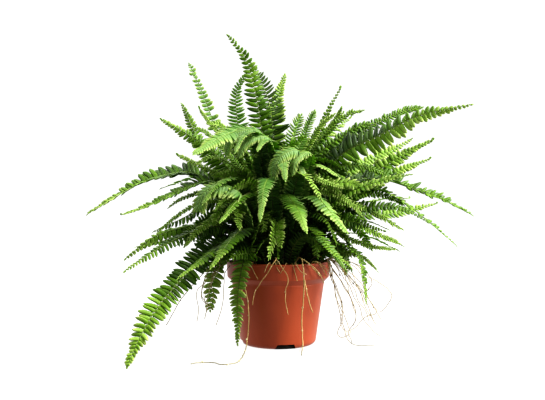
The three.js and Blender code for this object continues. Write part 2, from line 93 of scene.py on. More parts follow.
class Curve:
    # A smooth line through points, read by its length.
    def __init__(self, points, step=1.5 * mm):
        points = np.asarray(points, float)
        spans = np.linalg.norm(np.diff(points, axis=0), axis=1)
        knots = np.concatenate([[0], np.cumsum(np.sqrt(spans))])
        ends = np.vstack([2 * points[0] - points[1], points, 2 * points[-1] - points[-2]])
        outer = np.concatenate([[2 * knots[0] - knots[1]], knots, [2 * knots[-1] - knots[-2]]])
        line = []
        for k in range(1, len(ends) - 2):
            p, t = ends[k - 1:k + 3], outer[k - 1:k + 3]
            count = max(2, int(np.linalg.norm(p[2] - p[1]) / step))
            for u in np.linspace(t[1], t[2], count, endpoint=False):
                a = [((t[i + 1] - u) * p[i] + (u - t[i]) * p[i + 1]) / (t[i + 1] - t[i]) for i in range(3)]
                b = [((t[i + 2] - u) * a[i] + (u - t[i]) * a[i + 1]) / (t[i + 2] - t[i]) for i in range(2)]
                line.append(((t[2] - u) * b[0] + (u - t[1]) * b[1]) / (t[2] - t[1]))
        self.line = np.array(line + [ends[-2]])
        steps = np.linalg.norm(np.diff(self.line, axis=0), axis=1)
        self.lengths = np.concatenate([[0], np.cumsum(steps)])
        self.length = float(self.lengths[-1])
        self.start = 0.0

    def at(self, s):
        return np.array([np.interp(s, self.lengths, self.line[:, k]) for k in range(3)]).T

    def along(self, s):
        gap = 3 * mm
        return unit(self.at(min(s + gap, self.length)) - self.at(max(s - gap, 0)))

    def nearest(self, points):
        gaps = np.linalg.norm(points[:, None] - self.line[None], axis=2)
        return gaps.min(axis=1), self.lengths[gaps.argmin(axis=1)]


def meshOf(name, points, faces):
    mesh = bpy.data.meshes.new(name)
    mesh.from_pydata(points, [], faces)
    return mesh


def linked(name, data):
    # An object of this mesh, lamp or camera, in the scene.
    made = bpy.data.objects.new(name, data)
    bpy.context.scene.collection.objects.link(made)
    return made


class Shape:
    # Gathers points, faces and the values that its material reads, and makes one piece of them.
    def __init__(self):
        self.points, self.faces, self.marks, self.count = [], [], {}, 0

    def add(self, points, faces, **marks):
        points = np.asarray(points, float)
        self.points.append(points)
        self.faces.extend([[self.count + i for i in face] for face in faces])
        for name in set(self.marks) | set(marks):
            value = marks.get(name, (0, 0, 0))
            earlier = self.marks.setdefault(name, [np.zeros((self.count, 3))])
            earlier.append(np.broadcast_to(np.asarray(value, float), (len(points), 3)))
        self.count += len(points)

    def mesh(self, name):
        return meshOf(name, np.concatenate(self.points).tolist(), self.faces)

    def piece(self, name, material, slot, nodes=()):
        mesh = self.mesh(name)
        for mark, values in self.marks.items():
            layer = mesh.attributes.new(mark, "FLOAT_VECTOR", "POINT")
            layer.data.foreach_set("vector", np.concatenate(values).astype(np.float32).ravel())
        mesh.polygons.foreach_set("use_smooth", [True] * len(mesh.polygons))
        mesh.materials.append(material)
        mesh.update()
        made = linked(name, mesh)
        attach(made, "root")
        if nodes:
            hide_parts(*nodes)
        return made


def tube(shape, curve, radius, sides, step, start=0.0, **marks):
    # A closed round stem along a curve. Its radius is a function of the share of its length.
    rings = max(2, int((curve.length - start) / step) + 1)
    side = unit(np.cross(curve.along(start), (0.31, 0.17, 0.93)))
    points, shares = [], []
    for i in range(rings):
        share = i / (rings - 1)
        s = start + (curve.length - start) * share
        along = curve.along(s)
        side = unit(side - along * (side @ along))
        other = np.cross(along, side)
        for k in range(sides):
            turn = 2 * math.pi * k / sides
            points.append(curve.at(s) + (side * math.cos(turn) + other * math.sin(turn)) * radius(share))
            shares.append(share)
    faces = [list(range(sides))[::-1], [(rings - 1) * sides + k for k in range(sides)]]
    for i in range(rings - 1):
        for k in range(sides):
            a, b = i * sides + k, i * sides + (k + 1) % sides
            faces.append([a, b, b + sides, a + sides])
    shape.add(points, faces, **{name: mark(np.array(shares)) if callable(mark) else mark
                                for name, mark in marks.items()})


def ringFaces(rows, sides):
    # The faces of a closed body: one point, rows of points around the axis, and one last point.
    last = 1 + rows * sides
    faces = []
    for k in range(sides):
        n = (k + 1) % sides
        faces.append([0, 1 + n, 1 + k])
        faces.append([last, last - sides + k, last - sides + n])
        for i in range(rows - 1):
            a, b = 1 + i * sides + k, 1 + i * sides + n
            faces.append([a, b, b + sides, a + sides])
    return faces


def ball(shape, centre, along, length, width, rings, sides, **marks):
    # A closed egg, longer along one direction.
    along = unit(np.asarray(along, float))
    side = unit(np.cross(along, (0.37, 0.61, 0.7)))
    other = np.cross(along, side)
    points = [centre - along * length / 2]
    for i in range(1, rings):
        turn = math.pi * i / rings
        for k in range(sides):
            spin = 2 * math.pi * k / sides
            out = side * math.cos(spin) + other * math.sin(spin)
            points.append(centre - along * math.cos(turn) * length / 2 + out * math.sin(turn) * width / 2)
    points.append(centre + along * length / 2)
    shape.add(points, ringFaces(rings - 1, sides), **marks)


def lathe(profile, sides):
    # A closed turned body about the Z axis. The profile runs from the axis to the axis.
    turns = [2 * math.pi * k / sides for k in range(sides)]
    middle = profile[1:-1]
    points = [(0, 0, profile[0][1])]
    points += [(r * math.cos(t), r * math.sin(t), z) for r, z in middle for t in turns]
    points.append((0, 0, profile[-1][1]))
    return np.array(points, float) * mm, ringFaces(len(middle), sides)


class Wire:
    # One value in a material. Arithmetic on it adds Math nodes.
    def __init__(self, paint, socket):
        self.paint, self.socket = paint, socket

    def maths(self, operation, *values):
        return self.paint.node("Math", {"operation": operation}, dict(enumerate(values)))

    def __add__(self, other):
        return self.maths("ADD", self, other)

    def __sub__(self, other):
        return self.maths("SUBTRACT", self, other)

    def __rsub__(self, other):
        return self.maths("SUBTRACT", other, self)

    def __mul__(self, other):
        return self.maths("MULTIPLY", self, other)

    def __abs__(self):
        return self.maths("ABSOLUTE", self)

    def sine(self):
        return self.maths("SINE", self)

    def rise(self, low, high):
        settings = {"interpolation_type": "SMOOTHSTEP"}
        return self.paint.node("MapRange", settings, {0: self, 1: low, 2: high})

    __radd__ = __add__
    __rmul__ = __mul__


class Paint:
    # The nodes of a material or a world, and the ways to put more in.
    def __init__(self, name, kind=bpy.data.materials):
        self.owner = kind.new(name)
        self.owner.use_nodes = True
        self.tree = self.owner.node_tree
        self.tree.nodes.clear()

    def node(self, kind, settings, inputs, output=0):
        made = self.tree.nodes.new("ShaderNode" + kind)
        for name, value in settings.items():
            setattr(made, name, value)
        for key, value in inputs.items():
            if isinstance(value, Wire):
                self.tree.links.new(value.socket, made.inputs[key])
            else:
                made.inputs[key].default_value = value
        return Wire(self, made.outputs[output])

    def mark(self, name):
        # The three values of an attribute of the piece.
        whole = self.node("Attribute", {"attribute_name": name}, {}, "Vector")
        return [self.node("SeparateXYZ", {}, {0: whole}, k) for k in range(3)]

    def place(self, kind="Object"):
        return self.node("TexCoord", {}, {}, kind)

    def noise(self, where, scale, detail=2.0, rough=0.5):
        inputs = {"Vector": where, "Scale": scale, "Detail": detail, "Roughness": rough}
        return self.node("TexNoise", {}, inputs, "Fac")

    def mix(self, factor, first, second):
        inputs = {0: factor, 6: self.colour(first), 7: self.colour(second)}
        return self.node("Mix", {"data_type": "RGBA"}, inputs, 2)

    def layers(self, colour, *above):
        # Colours laid over the first one, each with its share.
        for share, over in above:
            colour = self.mix(share, colour, over)
        return colour

    def colour(self, value):
        return value if isinstance(value, Wire) else (*value, 1)

    def bump(self, height, strength, distance):
        return self.node("Bump", {}, {"Height": height, "Strength": strength, "Distance": distance}, "Normal")

    def surface(self, shader, kind="Material"):
        out = self.tree.nodes.new("ShaderNodeOutput" + kind)
        self.tree.links.new(shader.socket, out.inputs["Surface"])
        return self.owner

    def letThrough(self, share, skin, colour):
        through = self.node("BsdfTranslucent", {}, {"Color": (*colour, 1)})
        return self.surface(self.node("MixShader", {}, {0: share, 1: skin, 2: through}))

    def principled(self, **inputs):
        named = {name.replace("_", " "): value for name, value in inputs.items()}
        return self.node("BsdfPrincipled", {}, named)


def readNode(node):
    # The node's corners, each once, and for each the corners that an edge joins it to.
    mesh = frame["nodes"][node].data
    raw = np.empty(len(mesh.vertices) * 3, np.float32)
    mesh.vertices.foreach_get("co", raw)
    raw = raw.reshape(-1, 3)
    cell = 0.02 * mm
    cells = np.round(raw / cell).astype(np.int64)
    _, first, index = np.unique(cells, axis=0, return_index=True, return_inverse=True)
    index = index.ravel()
    joined = [set() for _ in first]
    for edge in mesh.edges:
        a, b = (int(index[v]) for v in edge.vertices)
        if a != b:
            joined[a].add(b)
            joined[b].add(a)
    return raw[first].astype(float), joined


def walk(points, joined, start):
    # How far every corner is from the start along the edges, and the corner before it on that way.
    far, before, queue = np.full(len(points), np.inf), {}, [(0.0, start)]
    far[start] = 0
    while queue:
        gone, here = heapq.heappop(queue)
        if gone > far[here]:
            continue
        for other in joined[here]:
            total = gone + float(np.linalg.norm(points[other] - points[here]))
            if total < far[other]:
                far[other], before[other] = total, here
                heapq.heappush(queue, (total, other))
    return far, before


def readStems(node, section, apart, most=9, footWithin=70 * mm):
    # The centre lines of a node's stems, from their foot in the soil to each far end, the longest first.
    points, joined = readNode(node)
    outside = np.hypot(points[:, 0], points[:, 1]) > footWithin
    start = int(np.where(outside, np.inf, points[:, 2]).argmin())
    far, before = walk(points, joined, start)
    clear = np.full(len(points), np.inf)
    stems = []
    while True:
        left = np.where(np.isfinite(far) & (clear > apart), far, 0)
        tip = int(left.argmax())
        if left[tip] <= 0 or len(stems) == most:
            return points, joined, stems
        path = [tip]
        while path[-1] != start:
            path.append(before[path[-1]])
        centres = []
        for k in reversed(path):
            centre = points[np.linalg.norm(points - points[k], axis=1) < section].mean(axis=0)
            if not centres or np.linalg.norm(centre - centres[-1]) > section:
                centres.append(centre)
        stem = Curve(centres)
        if stems:
            gap = np.min([earlier.nearest(stem.line)[0] for earlier in stems], axis=0)
            stem.start = float(stem.lengths[np.flatnonzero(gap < section * 0.4).max(initial=0)])
        stems.append(stem)
        clear = np.minimum(clear, stem.nearest(points)[0])


def readLeaflets(points, joined, stems, onRib=2.4 * mm):
    # For each stem, where the leaflets on its right and on its left spring, and the way to their tips.
    gaps = [stem.nearest(points) for stem in stems]
    near = np.array([gap for gap, _ in gaps])
    rib = near.min(axis=0) < onRib
    found = [[] for _ in stems]
    for k in np.flatnonzero(~rib):
        roots = [n for n in joined[k] if rib[n]]
        if roots:
            owner = int(near[:, roots].sum(axis=1).argmin())
            s = float(gaps[owner][1][roots].mean())
            found[owner].append((s, points[k] - stems[owner].at(s)))
    result = []
    for stem, tips in zip(stems, found):
        out = stem.at(stem.length * 0.6) - stem.at(0)
        right = unit(np.array([out[1], -out[0], 0]))
        hands = {1: [], -1: []}
        for s, way in sorted(tips, key=lambda tip: tip[0]):
            hand = 1 if way @ right > 0 else -1
            hands[hand].append((s, way))
            right = unit(right + unit(way) * hand * 0.5)
        result.append(hands)
    return result


leafShape = {
    "thickness": 0.34, "spacing": 0.44, "most": 9.2, "overlap": 0.47,
    "cup": 0.4, "sickle": 0.12, "droop": 0.1, "uneven": 0.09,
    "stem": 1.25, "stemTip": 0.4, "endLength": 5, "endWidth": 1.5, "endGap": 1.6, "endPitch": 2.2,
    "endSpread": 0.3, "shortest": 1.2, "waveLength": 17,
}
crozierShape = {"points": 26, "turns": 1.7, "closing": 0.72, "before": 4}


class LeafGrid:
    # How a leaflet is divided: rows along it, places across its upper side, and its closed faces.
    def __init__(self, rows, across):
        self.rows, self.across = np.array(rows), np.array(across)
        n, m = len(rows), len(across)
        faces = []
        for i in range(n - 1):
            for j in range(m - 1):
                a = i * m + j
                faces.append([a, a + 1, a + m + 1, a + m])
            low, nextLow = n * m + i, n * m + i + 1
            faces.append([i * m, (i + 1) * m, nextLow, low])
            faces.append([low, nextLow, (i + 2) * m - 1, (i + 1) * m - 1])
        faces.append([0, n * m] + list(range(m - 1, 0, -1)))
        faces.append([(n - 1) * m + j for j in range(m)] + [n * m + n - 1])
        self.faces = {1: faces, -1: [face[::-1] for face in faces]}


fineLeaf = LeafGrid([0, 0.09, 0.26, 0.5, 0.74, 0.91, 1], [-1, -0.5, 0, 0.5, 1])
plainLeaf = LeafGrid([0, 0.13, 0.45, 0.8, 1], [-1, 0, 1])


def leaflet(shape, grid, root, way, upper, halfWidth, look, chance, marks):
    # One leaflet from its root to its tip. `upper` is the way its upper side faces.
    f = leafShape
    rows, across = grid.rows, grid.across
    length = float(np.linalg.norm(way))
    x = way / length
    z = unit(upper - x * (upper @ x))
    hand = marks["hand"]
    forward = np.cross(z, x) * hand
    width = np.minimum(1, ((rows + 0.03) / 0.13) ** 0.5)
    width = width * (1 - np.clip((rows - 0.3) / 0.7, 0, 0.985) ** look["blunt"]) ** 0.7
    width = width * halfWidth * (1 + 0.04 * np.sin(rows * 37 + chance * 40))
    lobe = 1 + 0.28 * np.exp(-((rows - 0.08) / 0.08) ** 2)
    side = across[None, :] * width[:, None]
    side = np.where(side > 0, side * lobe[:, None], side)
    turn = (chance - 0.5) * 2 * look["twist"] * (0.4 + rows)
    cup = -f["cup"] * width[:, None] * across[None, :] ** 2
    cup = cup + 0.07 * width[:, None] * (np.abs(across) > 0.1)[None, :]
    bend = f["sickle"] * length * rows ** 2
    fall = -(f["droop"] + look["droop"]) * length * rows ** 2.2
    wide = forward * np.cos(turn)[:, None] + z * np.sin(turn)[:, None]
    high = z * np.cos(turn)[:, None] - forward * np.sin(turn)[:, None]
    spine = root + x * (rows * length)[:, None] + forward * bend[:, None] + z * fall[:, None]
    top = spine[:, None, :] + wide[:, None, :] * side[:, :, None] + high[:, None, :] * cup[:, :, None]
    thick = f["thickness"] * mm * np.minimum(1, width / (1.2 * mm))
    low = spine - high * thick[:, None]
    n, m = len(rows), len(across)
    leafAt = np.full((n * m + n, 3), chance)
    leafAt[:, 0] = np.concatenate([np.repeat(rows, m), rows])
    leafAt[:, 1] = np.concatenate([np.tile(across, n), np.zeros(n)])
    frondAt = np.empty((n * m + n, 3))
    frondAt[:, 0], frondAt[:, 1] = marks["share"], marks["age"]
    frondAt[:, 2] = np.concatenate([np.zeros(n * m), np.ones(n)])
    # The stalk attribute's second value is the frond's painted sheen share.
    shape.add(np.concatenate([top.reshape(-1, 3), low]), grid.faces[hand], leafAt=leafAt, frondAt=frondAt,
              stalk=(0, look["paintedSheen"], 0))


def crozier(shape, stem, upper, size, age):
    # The rolled-up young end of a frond.
    along = stem.along(stem.length)
    up = unit(upper - along * (upper @ along))
    centre = stem.at(stem.length) + up * size
    points = [stem.at(stem.length - crozierShape["before"] * mm)]
    last = crozierShape["points"] - 1
    for i in range(last + 1):
        turn = i / last * 2 * math.pi * crozierShape["turns"]
        reach = size * (1 - crozierShape["closing"] * i / last)
        points.append(centre - up * math.cos(turn) * reach + along * math.sin(turn) * reach)

    def radius(share):
        return (0.95 - 0.45 * share) * size / 2.2

    tube(shape, Curve(points, 0.6 * mm), radius, 6, 0.8 * mm, frondAt=(1, age, 0), leafAt=(0.5, 0.6, 0.5))


def bladeSides(stem, hands, roll):
    # For each hand, how the blade reaches out from the stem: places along it and vectors square to it.
    sides = {}
    for hand, tips in hands.items():
        places = np.array([s for s, _ in tips])
        ways = []
        for s, way in tips:
            along = stem.along(s)
            way = way - along * (way @ along)
            ways.append(way * math.cos(roll) + np.cross(along, way) * math.sin(roll))
        sides[hand] = (places, np.array(ways))
    return sides


def reachAt(stem, places, ways, s):
    # The blade's reach at a place. It rounds off past the last corner of the CAD blade.
    way = np.array([np.interp(s, places, ways[:, k]) for k in range(3)])
    past = max(0, (s - places[-1]) / (stem.length - places[-1]))
    before = max(0, (places[0] - s) / (40 * mm))
    return way * math.sqrt(max(0.02, 1 - past ** 1.8)) * (1 - 0.6 * min(1, before))


def frond(shape, grid, stem, sides, look, chances):
    # A stem with its leaflets. `sides` says how the blade reaches out to each hand.
    f = leafShape
    first = max(stem.start, min(places[0] for places, _ in sides.values()) - look["bare"] * mm)
    widest = max(float(np.linalg.norm(ways, axis=1).max()) for _, ways in sides.values()) * look["reach"]
    spacing = f["spacing"] * look["pitch"] * widest
    spacing = float(np.clip(spacing, look["least"] * mm, f["most"] * mm))

    def ageAt(share):
        return look["age"] + (look["tip"] - look["age"]) * smooth(look["greenTo"], 1.0, share)

    upper = np.array([0, 0, 1.0])
    wavePhase = chances.random() * 6
    for hand in (1, -1):
        s = first + (0 if hand > 0 else spacing / 2)
        while s < stem.length - f["endGap"] * mm:
            size = look["reach"] * (1 - look["fine"] * float(smooth(0.55, 1.0, s / stem.length)))
            way = reachAt(stem, *sides[hand], s) * size
            other = reachAt(stem, *sides[-hand], s) * size
            reach = float(np.linalg.norm(way))
            pitch = spacing * (0.62 + 0.38 * reach / widest)
            pitch = min(pitch, f["endPitch"] * mm + f["endSpread"] * (stem.length - s))
            along = stem.along(s)
            upper = unit(np.cross(way - other, along)) * hand
            share = s / stem.length
            chance = chances.random()
            lean = look["forward"] + 0.45 * float(smooth(0.8, 1, share))
            lean += (chances.random() - 0.5) * 2 * look["lean"]
            lift = look["keel"] + (chances.random() - 0.5) * 2 * look["loose"]
            lift += look["wave"] * math.sin(s / mm / f["waveLength"] + wavePhase)
            size = 1 + (chances.random() - 0.5) * 2 * f["uneven"]
            halfWidth = min(f["overlap"] * pitch, 0.36 * reach + 0.5 * mm) * look["width"]
            if reach > f["shortest"] * mm and chances.random() > look["missing"]:
                # paintedRowLight paints one row of leaflets lighter and the other darker, as light falls on
                # each row.
                age = float(ageAt(share)) + (chances.random() - 0.5) * look["mixed"] + look["paintedRowLight"] * hand
                marks = {"hand": hand, "share": share, "age": min(1, max(0, age))}
                root = stem.at(s) + upper * 0.25 * mm
                leaflet(shape, grid, root, (way + along * reach * lean + upper * reach * lift) * size, upper,
                        halfWidth, look, chance, marks)
            s += pitch
    tipAge = float(ageAt(1.0))
    if look["crozier"]:
        crozier(shape, stem, upper, look["crozier"] * mm, tipAge)
    else:
        marks = {"hand": 1, "share": 1, "age": tipAge}
        along = stem.along(stem.length)
        root = stem.at(stem.length) - along * mm
        leaflet(shape, grid, root, along * f["endLength"] * mm, upper, f["endWidth"] * mm,
                look, 0.5, marks)

    def stemMarks(shares):
        return np.stack([shares, ageAt(shares), 0 * shares], axis=1)

    def stemRadius(share):
        thick = f["stem"] * (1 - share) + f["stemTip"] * share
        return thick * look["stem"] * mm

    tube(shape, stem, stemRadius, 6, 5 * mm, stem.start, frondAt=stemMarks, stalk=(1, 0, 0))


# paintedSheen is painted sheen: it tints the leaf colour bluish-grey, with pale tips, in place of the sky's
# reflection.
plainLook = {
    "age": 0.3, "tip": 0.6, "mixed": 0.3, "blunt": 3.4, "twist": 0.3, "droop": 0.05, "width": 1.0,
    "pitch": 1.0, "lean": 0.14, "loose": 0.14, "keel": 0.1, "wave": 0.12, "missing": 0.0, "bare": 26,
    "stem": 1.0, "crozier": 0, "roll": 0.0, "reach": 1.0, "forward": 0.2, "fine": 0.0, "greenTo": 0.4,
    "least": 3.8, "paintedRowLight": 0.0, "paintedSheen": 0.0,
}
# Young tips: their leaflets overlap, so the blade looks whole with a toothed edge.
youngLook = {
    "age": 0.4, "tip": 1.0, "blunt": 2.0, "pitch": 0.55, "reach": 1.3, "least": 3.1, "width": 1.4,
    "loose": 0.07, "twist": 0.12, "wave": 0.08, "keel": -0.15, "forward": 0.3, "lean": 0.2, "greenTo": 0.5,
    "paintedSheen": 0.8,
}
# How each frond differs from the plain one. Age, at the foot and at the tip, is 0 for old leaf and 1 for new.
looks = {
    "far_right": dict(age=0.12, tip=0.55, keel=0.25, loose=0.4, roll=0.3, pitch=0.6, width=1.35,
            forward=0.35),
    # great_right: its lower row of leaflets is painted lighter and its upper row darker, as light falls on
    # them.
    "great_right": dict(age=0.0, tip=0.9, blunt=4.0, keel=-0.2, roll=-0.1, fine=0.25, width=1.1,
            pitch=0.7, forward=0.12, reach=1.05, paintedRowLight=0.24, mixed=0.25, greenTo=0.3, loose=0.25,
            twist=0.45),
    "tall": dict(age=0.0, tip=0.62, blunt=2.4, droop=0.22, loose=0.22, greenTo=0.3, width=0.9),
    "great_left": dict(age=0.22, tip=0.85, loose=0.15, pitch=0.62, width=1.35, forward=0.4, reach=1.2,
            greenTo=0.5, blunt=4.5),
    "hanging_great": dict(age=0.1, tip=0.95, blunt=4.0, twist=0.45, missing=0.02, reach=0.84, pitch=0.68,
            width=1.12, forward=0.08, greenTo=0.45, fine=-0.42),
    "hanging_front": dict(age=0.65, tip=1.0, blunt=3.0, reach=1.25, pitch=0.75, greenTo=0.35),
    "hanging_left": dict(age=0.6, tip=0.95, blunt=3.2, roll=-0.9, reach=1.55, greenTo=0.35, fine=-0.4),
    "second_left": dict(age=0.25, tip=0.8, reach=1.1, pitch=0.7, greenTo=0.6, width=1.3, forward=0.35,
            crozier=1.6),
    "low_right": dict(age=0.2, tip=0.5, keel=0.2),
    "second_right": dict(age=0.55, tip=0.75, crozier=2.4, blunt=5.0, width=1.3, forward=0.1, reach=1.25,
            pitch=0.8),
    "middle_left": dict(age=0.2, tip=0.85, keel=-0.5, width=1.1),
    "crozier_right": dict(age=0.45, tip=0.7, crozier=2.8, blunt=4.0, pitch=1.7, width=1.1),
    "pale_left": dict(age=0.85, tip=0.95, crozier=1.8, pitch=1.6, blunt=4.0, reach=1.4, missing=0.04,
            paintedSheen=1.0, width=0.9, forward=0.05),
    "tall_back": dict(age=0.05, tip=0.3, blunt=2.2, droop=0.1, pitch=0.75, greenTo=0.7, reach=1.75,
            width=0.8),
    "tall_centre": dict(age=0.6, tip=0.85, pitch=0.65, reach=1.1, blunt=4.0),
    "upright_left": dict(age=0.4, tip=0.65, pitch=0.6, reach=1.4, blunt=2.6, width=0.85, paintedSheen=0.6),
    "side_left": dict(age=0.35, tip=0.7, crozier=1.8, pitch=0.75, reach=1.25, keel=-0.2),
    "young_right": dict(age=0.35, tip=0.75, crozier=2.0, loose=0.4, blunt=4.0, reach=1.2),
    "young_centre": dict(age=0.9, tip=0.95, crozier=1.8, pitch=0.8, reach=1.7, roll=0.6, paintedSheen=0.8),
    "pale_right": dict(age=0.75, tip=0.9, crozier=1.8, blunt=4.5, width=1.15),
    "inner_right": dict(age=0.55, tip=0.8, crozier=2.2, blunt=4.5, width=1.2),
    "broad_right": dict(age=0.5, tip=0.75, blunt=4.0, width=1.1),
    "level_right": dict(age=0.45, tip=0.85, crozier=1.8, blunt=4.0),
    "comb_right": dict(age=0.12, tip=0.35, roll=0.5, fine=0.4, pitch=0.85),
    "under_right": dict(age=0.5, tip=0.8),
    "hanging_right": dict(age=0.35, tip=0.75),
    "rear_left": dict(age=0.05, tip=0.35, keel=-0.4),
    "low_left": dict(age=0.15, tip=0.75, keel=-0.4, width=0.8, greenTo=0.6),
    "bright_left": dict(youngLook, age=0.15, tip=0.75, reach=1.05, pitch=0.75, paintedSheen=0.0),
    "front_long": dict(youngLook, age=0.5, roll=-0.75, reach=1.5),
    "front_right": dict(youngLook, age=0.3, tip=0.85, reach=1.1, paintedSheen=0.2, greenTo=0.6),
    "front_middle": dict(youngLook, age=0.25, reach=0.9, paintedSheen=0.7, greenTo=0.6),
    "front_pale": dict(youngLook, age=0.2, reach=1.1, paintedSheen=1.0, greenTo=0.6),
    "front_left": dict(youngLook, age=0.25, tip=0.8, reach=1.1, paintedSheen=0.2, greenTo=0.6),
    "front_high": dict(youngLook, age=0.3, paintedSheen=1.0, reach=1.2, greenTo=0.6),
    "front_side": dict(youngLook, age=0.45, tip=0.95, reach=1.4, pitch=0.7, paintedSheen=0.5),
    "front_folded": dict(tip=0.7),
}

# The CAD nodes that hold two fronds on one foot.
twins = {
    "side_left", "young_right", "young_centre", "broad_right", "level_right", "comb_right", "under_right",
    "hanging_right", "low_left", "bright_left", "front_pale", "front_left", "front_high", "front_side",
    "front_folded", "back_high_right", "back_low_right", "back_low_left",
}


def leafPaint():
    paint = Paint("fernLeaf")
    t, v, chance = paint.mark("leafAt")
    share, age, under = paint.mark("frondAt")
    # The second value of the stalk attribute is the share of painted sheen.
    stalk, paintedSheen, _ = paint.mark("stalk")
    where = paint.place()
    patches = paint.noise(where, 55.0, 2.0)
    fine = paint.noise(where, 900.0, 2.0)
    old = paint.mix(patches.rise(0.35, 0.65), (0.011, 0.032, 0.002), (0.040, 0.090, 0.004))
    middle = paint.mix(chance, (0.085, 0.190, 0.006), (0.185, 0.340, 0.012))
    fresh = paint.layers(
        (0.28, 0.47, 0.045),
        (chance, (0.45, 0.62, 0.13)),
        (t.rise(0.4, 1.0) * 0.85, (0.80, 0.84, 0.34)),
    )
    # Painted sheen: a bluish-grey tint that stands in for the sky's reflection on the leaflets.
    paintedSheenTint = paint.layers(
        (0.08, 0.20, 0.055),
        (chance, (0.15, 0.31, 0.10)),
        (age.rise(0.6, 1.0) * 0.75, (0.46, 0.66, 0.28)),
    )
    vein = 1 - abs(v).rise(0.02, 0.13)
    green = paint.layers(
        old,
        (age.rise(0.05, 0.5), middle),
        (age.rise(0.45, 0.95), fresh),
        # Painted sheen on the leaf colour: the bluish-grey tint on the body, then pale tips.
        (paintedSheen * (1 - age.rise(0.6, 0.95) * t.rise(0.25, 0.75)) * 0.85, paintedSheenTint),
        (paintedSheen * t.rise(0.68, 0.98) * 0.75, (0.72, 0.78, 0.34)),
        (vein * 0.35, (0.22, 0.36, 0.06)),
        (under * 0.3, (0.18, 0.30, 0.06)),
        (fine * 0.2, (0.05, 0.12, 0.01)),
        (stalk, paint.mix(share.rise(0.15, 0.8), (0.07, 0.065, 0.018), (0.16, 0.24, 0.03))),
    )
    ribs = ((t * 95 - abs(v) * 14).sine() * 0.5 + 0.5) * (1 - stalk)
    height = ribs * 0.35 + vein * -0.6 + fine * 0.25
    normal = paint.bump(height, 0.35, 0.25 * mm)
    rough = 0.42 + fine * 0.14 + under * 0.2
    skin = paint.principled(Base_Color=green, Roughness=rough, Normal=normal, IOR=1.42)
    clear = (0.2 + age * 0.25 + paintedSheen * 0.12) * (1 - stalk)
    return paint.letThrough(clear, skin, (0.33, 0.55, 0.05))


leafMaterial = leafPaint()
leafSlots = {row["node"]: row["material_slot"] for row in frame["record"]["subparts"]}
frondNodes = sorted(node for node in frame["nodes"] if node.startswith("frond_"))
for number, node in enumerate(frondNodes):
    name = node.removeprefix("frond_")
    look = {**plainLook, **looks.get(name, {})}
    points, joined, stems = readStems(node, 3.3 * mm, 22 * mm, 2 if name in twins else 1)
    shape, chances = Shape(), random.Random(100 + number)
    for stem, hands in zip(stems, readLeaflets(points, joined, stems)):
        frond(shape, fineLeaf, stem, bladeSides(stem, hands, look["roll"]), look, chances)
    shape.piece(name + "_leaves", leafMaterial, leafSlots[node], [node])
print("fronds made:", len(frondNodes))


# Short fronds that fill the plant between the long ones. Each tier gives how many there are, and for
# their foot, their highest point, their reach and their drop at the tip the least and the most.
innerTiers = {
    "upper_inner_fronds": {"count": 26, "foot": (12, 28), "top": (255, 335), "reach": (45, 118),
                           "drop": (-12, 22), "width": 12, "age": (0.25, 0.75), "slot": "leaf_mid"},
    "middle_inner_fronds": {"count": 34, "foot": (24, 42), "top": (200, 275), "reach": (90, 158),
                            "drop": (8, 55), "width": 13, "age": (0.1, 0.6), "slot": "leaf_mid"},
    "lower_inner_fronds": {"count": 30, "foot": (40, 60), "top": (148, 200), "reach": (100, 150),
                           "drop": (20, 62), "width": 12, "age": (0.0, 0.5), "slot": "leaf_dark"},
}


# Where the stems leave the soil, how their blades run, and what keeps the pot's front clear.
innerShape = {
    "soil": 118, "turn": 137.5, "aside": 24,
    "from": 0.3, "to": 0.9, "taper": 0.5, "widest": 0.45, "spread": 0.5,
    "frontFrom": 240, "frontTo": 345, "frontLowest": 144,
}


def bladeAcross(stem, width, form, roll, twist=0.0):
    # The blade of a stem that has no node: its reach to each hand, turned about the stem.
    sides = {}
    for hand in (1, -1):
        places = np.linspace(stem.length * form["from"], stem.length * form["to"], 8)
        ways = []
        for s in places:
            along = stem.along(s)
            share = s / stem.length
            level = unit(np.cross(along, (0, 0, 1)))
            up = np.cross(level, along)
            turn = roll + twist * share
            full = width * mm * (1 - form["taper"] * ((share - form["widest"]) / form["spread"]) ** 2)
            ways.append((level * math.cos(turn) + up * math.sin(turn)) * hand * full)
        sides[hand] = (places, np.array(ways))
    return sides


def innerFrond(shape, tier, direction, chances):
    f = innerShape
    foot = chances.uniform(*tier["foot"])
    top = chances.uniform(*tier["top"])
    reach = chances.uniform(*tier["reach"])
    drop = chances.uniform(*tier["drop"])
    if f["frontFrom"] < direction % 360 < f["frontTo"]:
        drop = min(drop, top - f["frontLowest"])
    aside = chances.uniform(-f["aside"], f["aside"])
    out = reach - foot
    stem = Curve([
        polar(direction, foot, f["soil"]),
        polar(direction + aside * 0.1, foot + out * 0.14, f["soil"] + (top - f["soil"]) * 0.5),
        polar(direction + aside * 0.4, foot + out * 0.45, top - 6),
        polar(direction + aside * 0.7, foot + out * 0.78, top - drop * 0.3),
        polar(direction + aside, reach, top - drop),
    ])
    roll = chances.gauss(0, 0.6)
    sides = bladeAcross(stem, tier["width"], f, roll, chances.gauss(0, 0.5))
    age = chances.uniform(*tier["age"])
    look = {**plainLook, "age": age, "tip": min(1, age + 0.35), "loose": 0.25, "twist": 0.5, "wave": 0.25,
            "crozier": 1.4 if chances.random() < 0.25 else 0}
    frond(shape, plainLeaf, stem, sides, look, chances)


for name, tier in innerTiers.items():
    shape, chances = Shape(), random.Random(name)
    for i in range(tier["count"]):
        innerFrond(shape, tier, i * innerShape["turn"] + chances.uniform(-18, 18), chances)
    shape.piece(name, leafMaterial, tier["slot"])
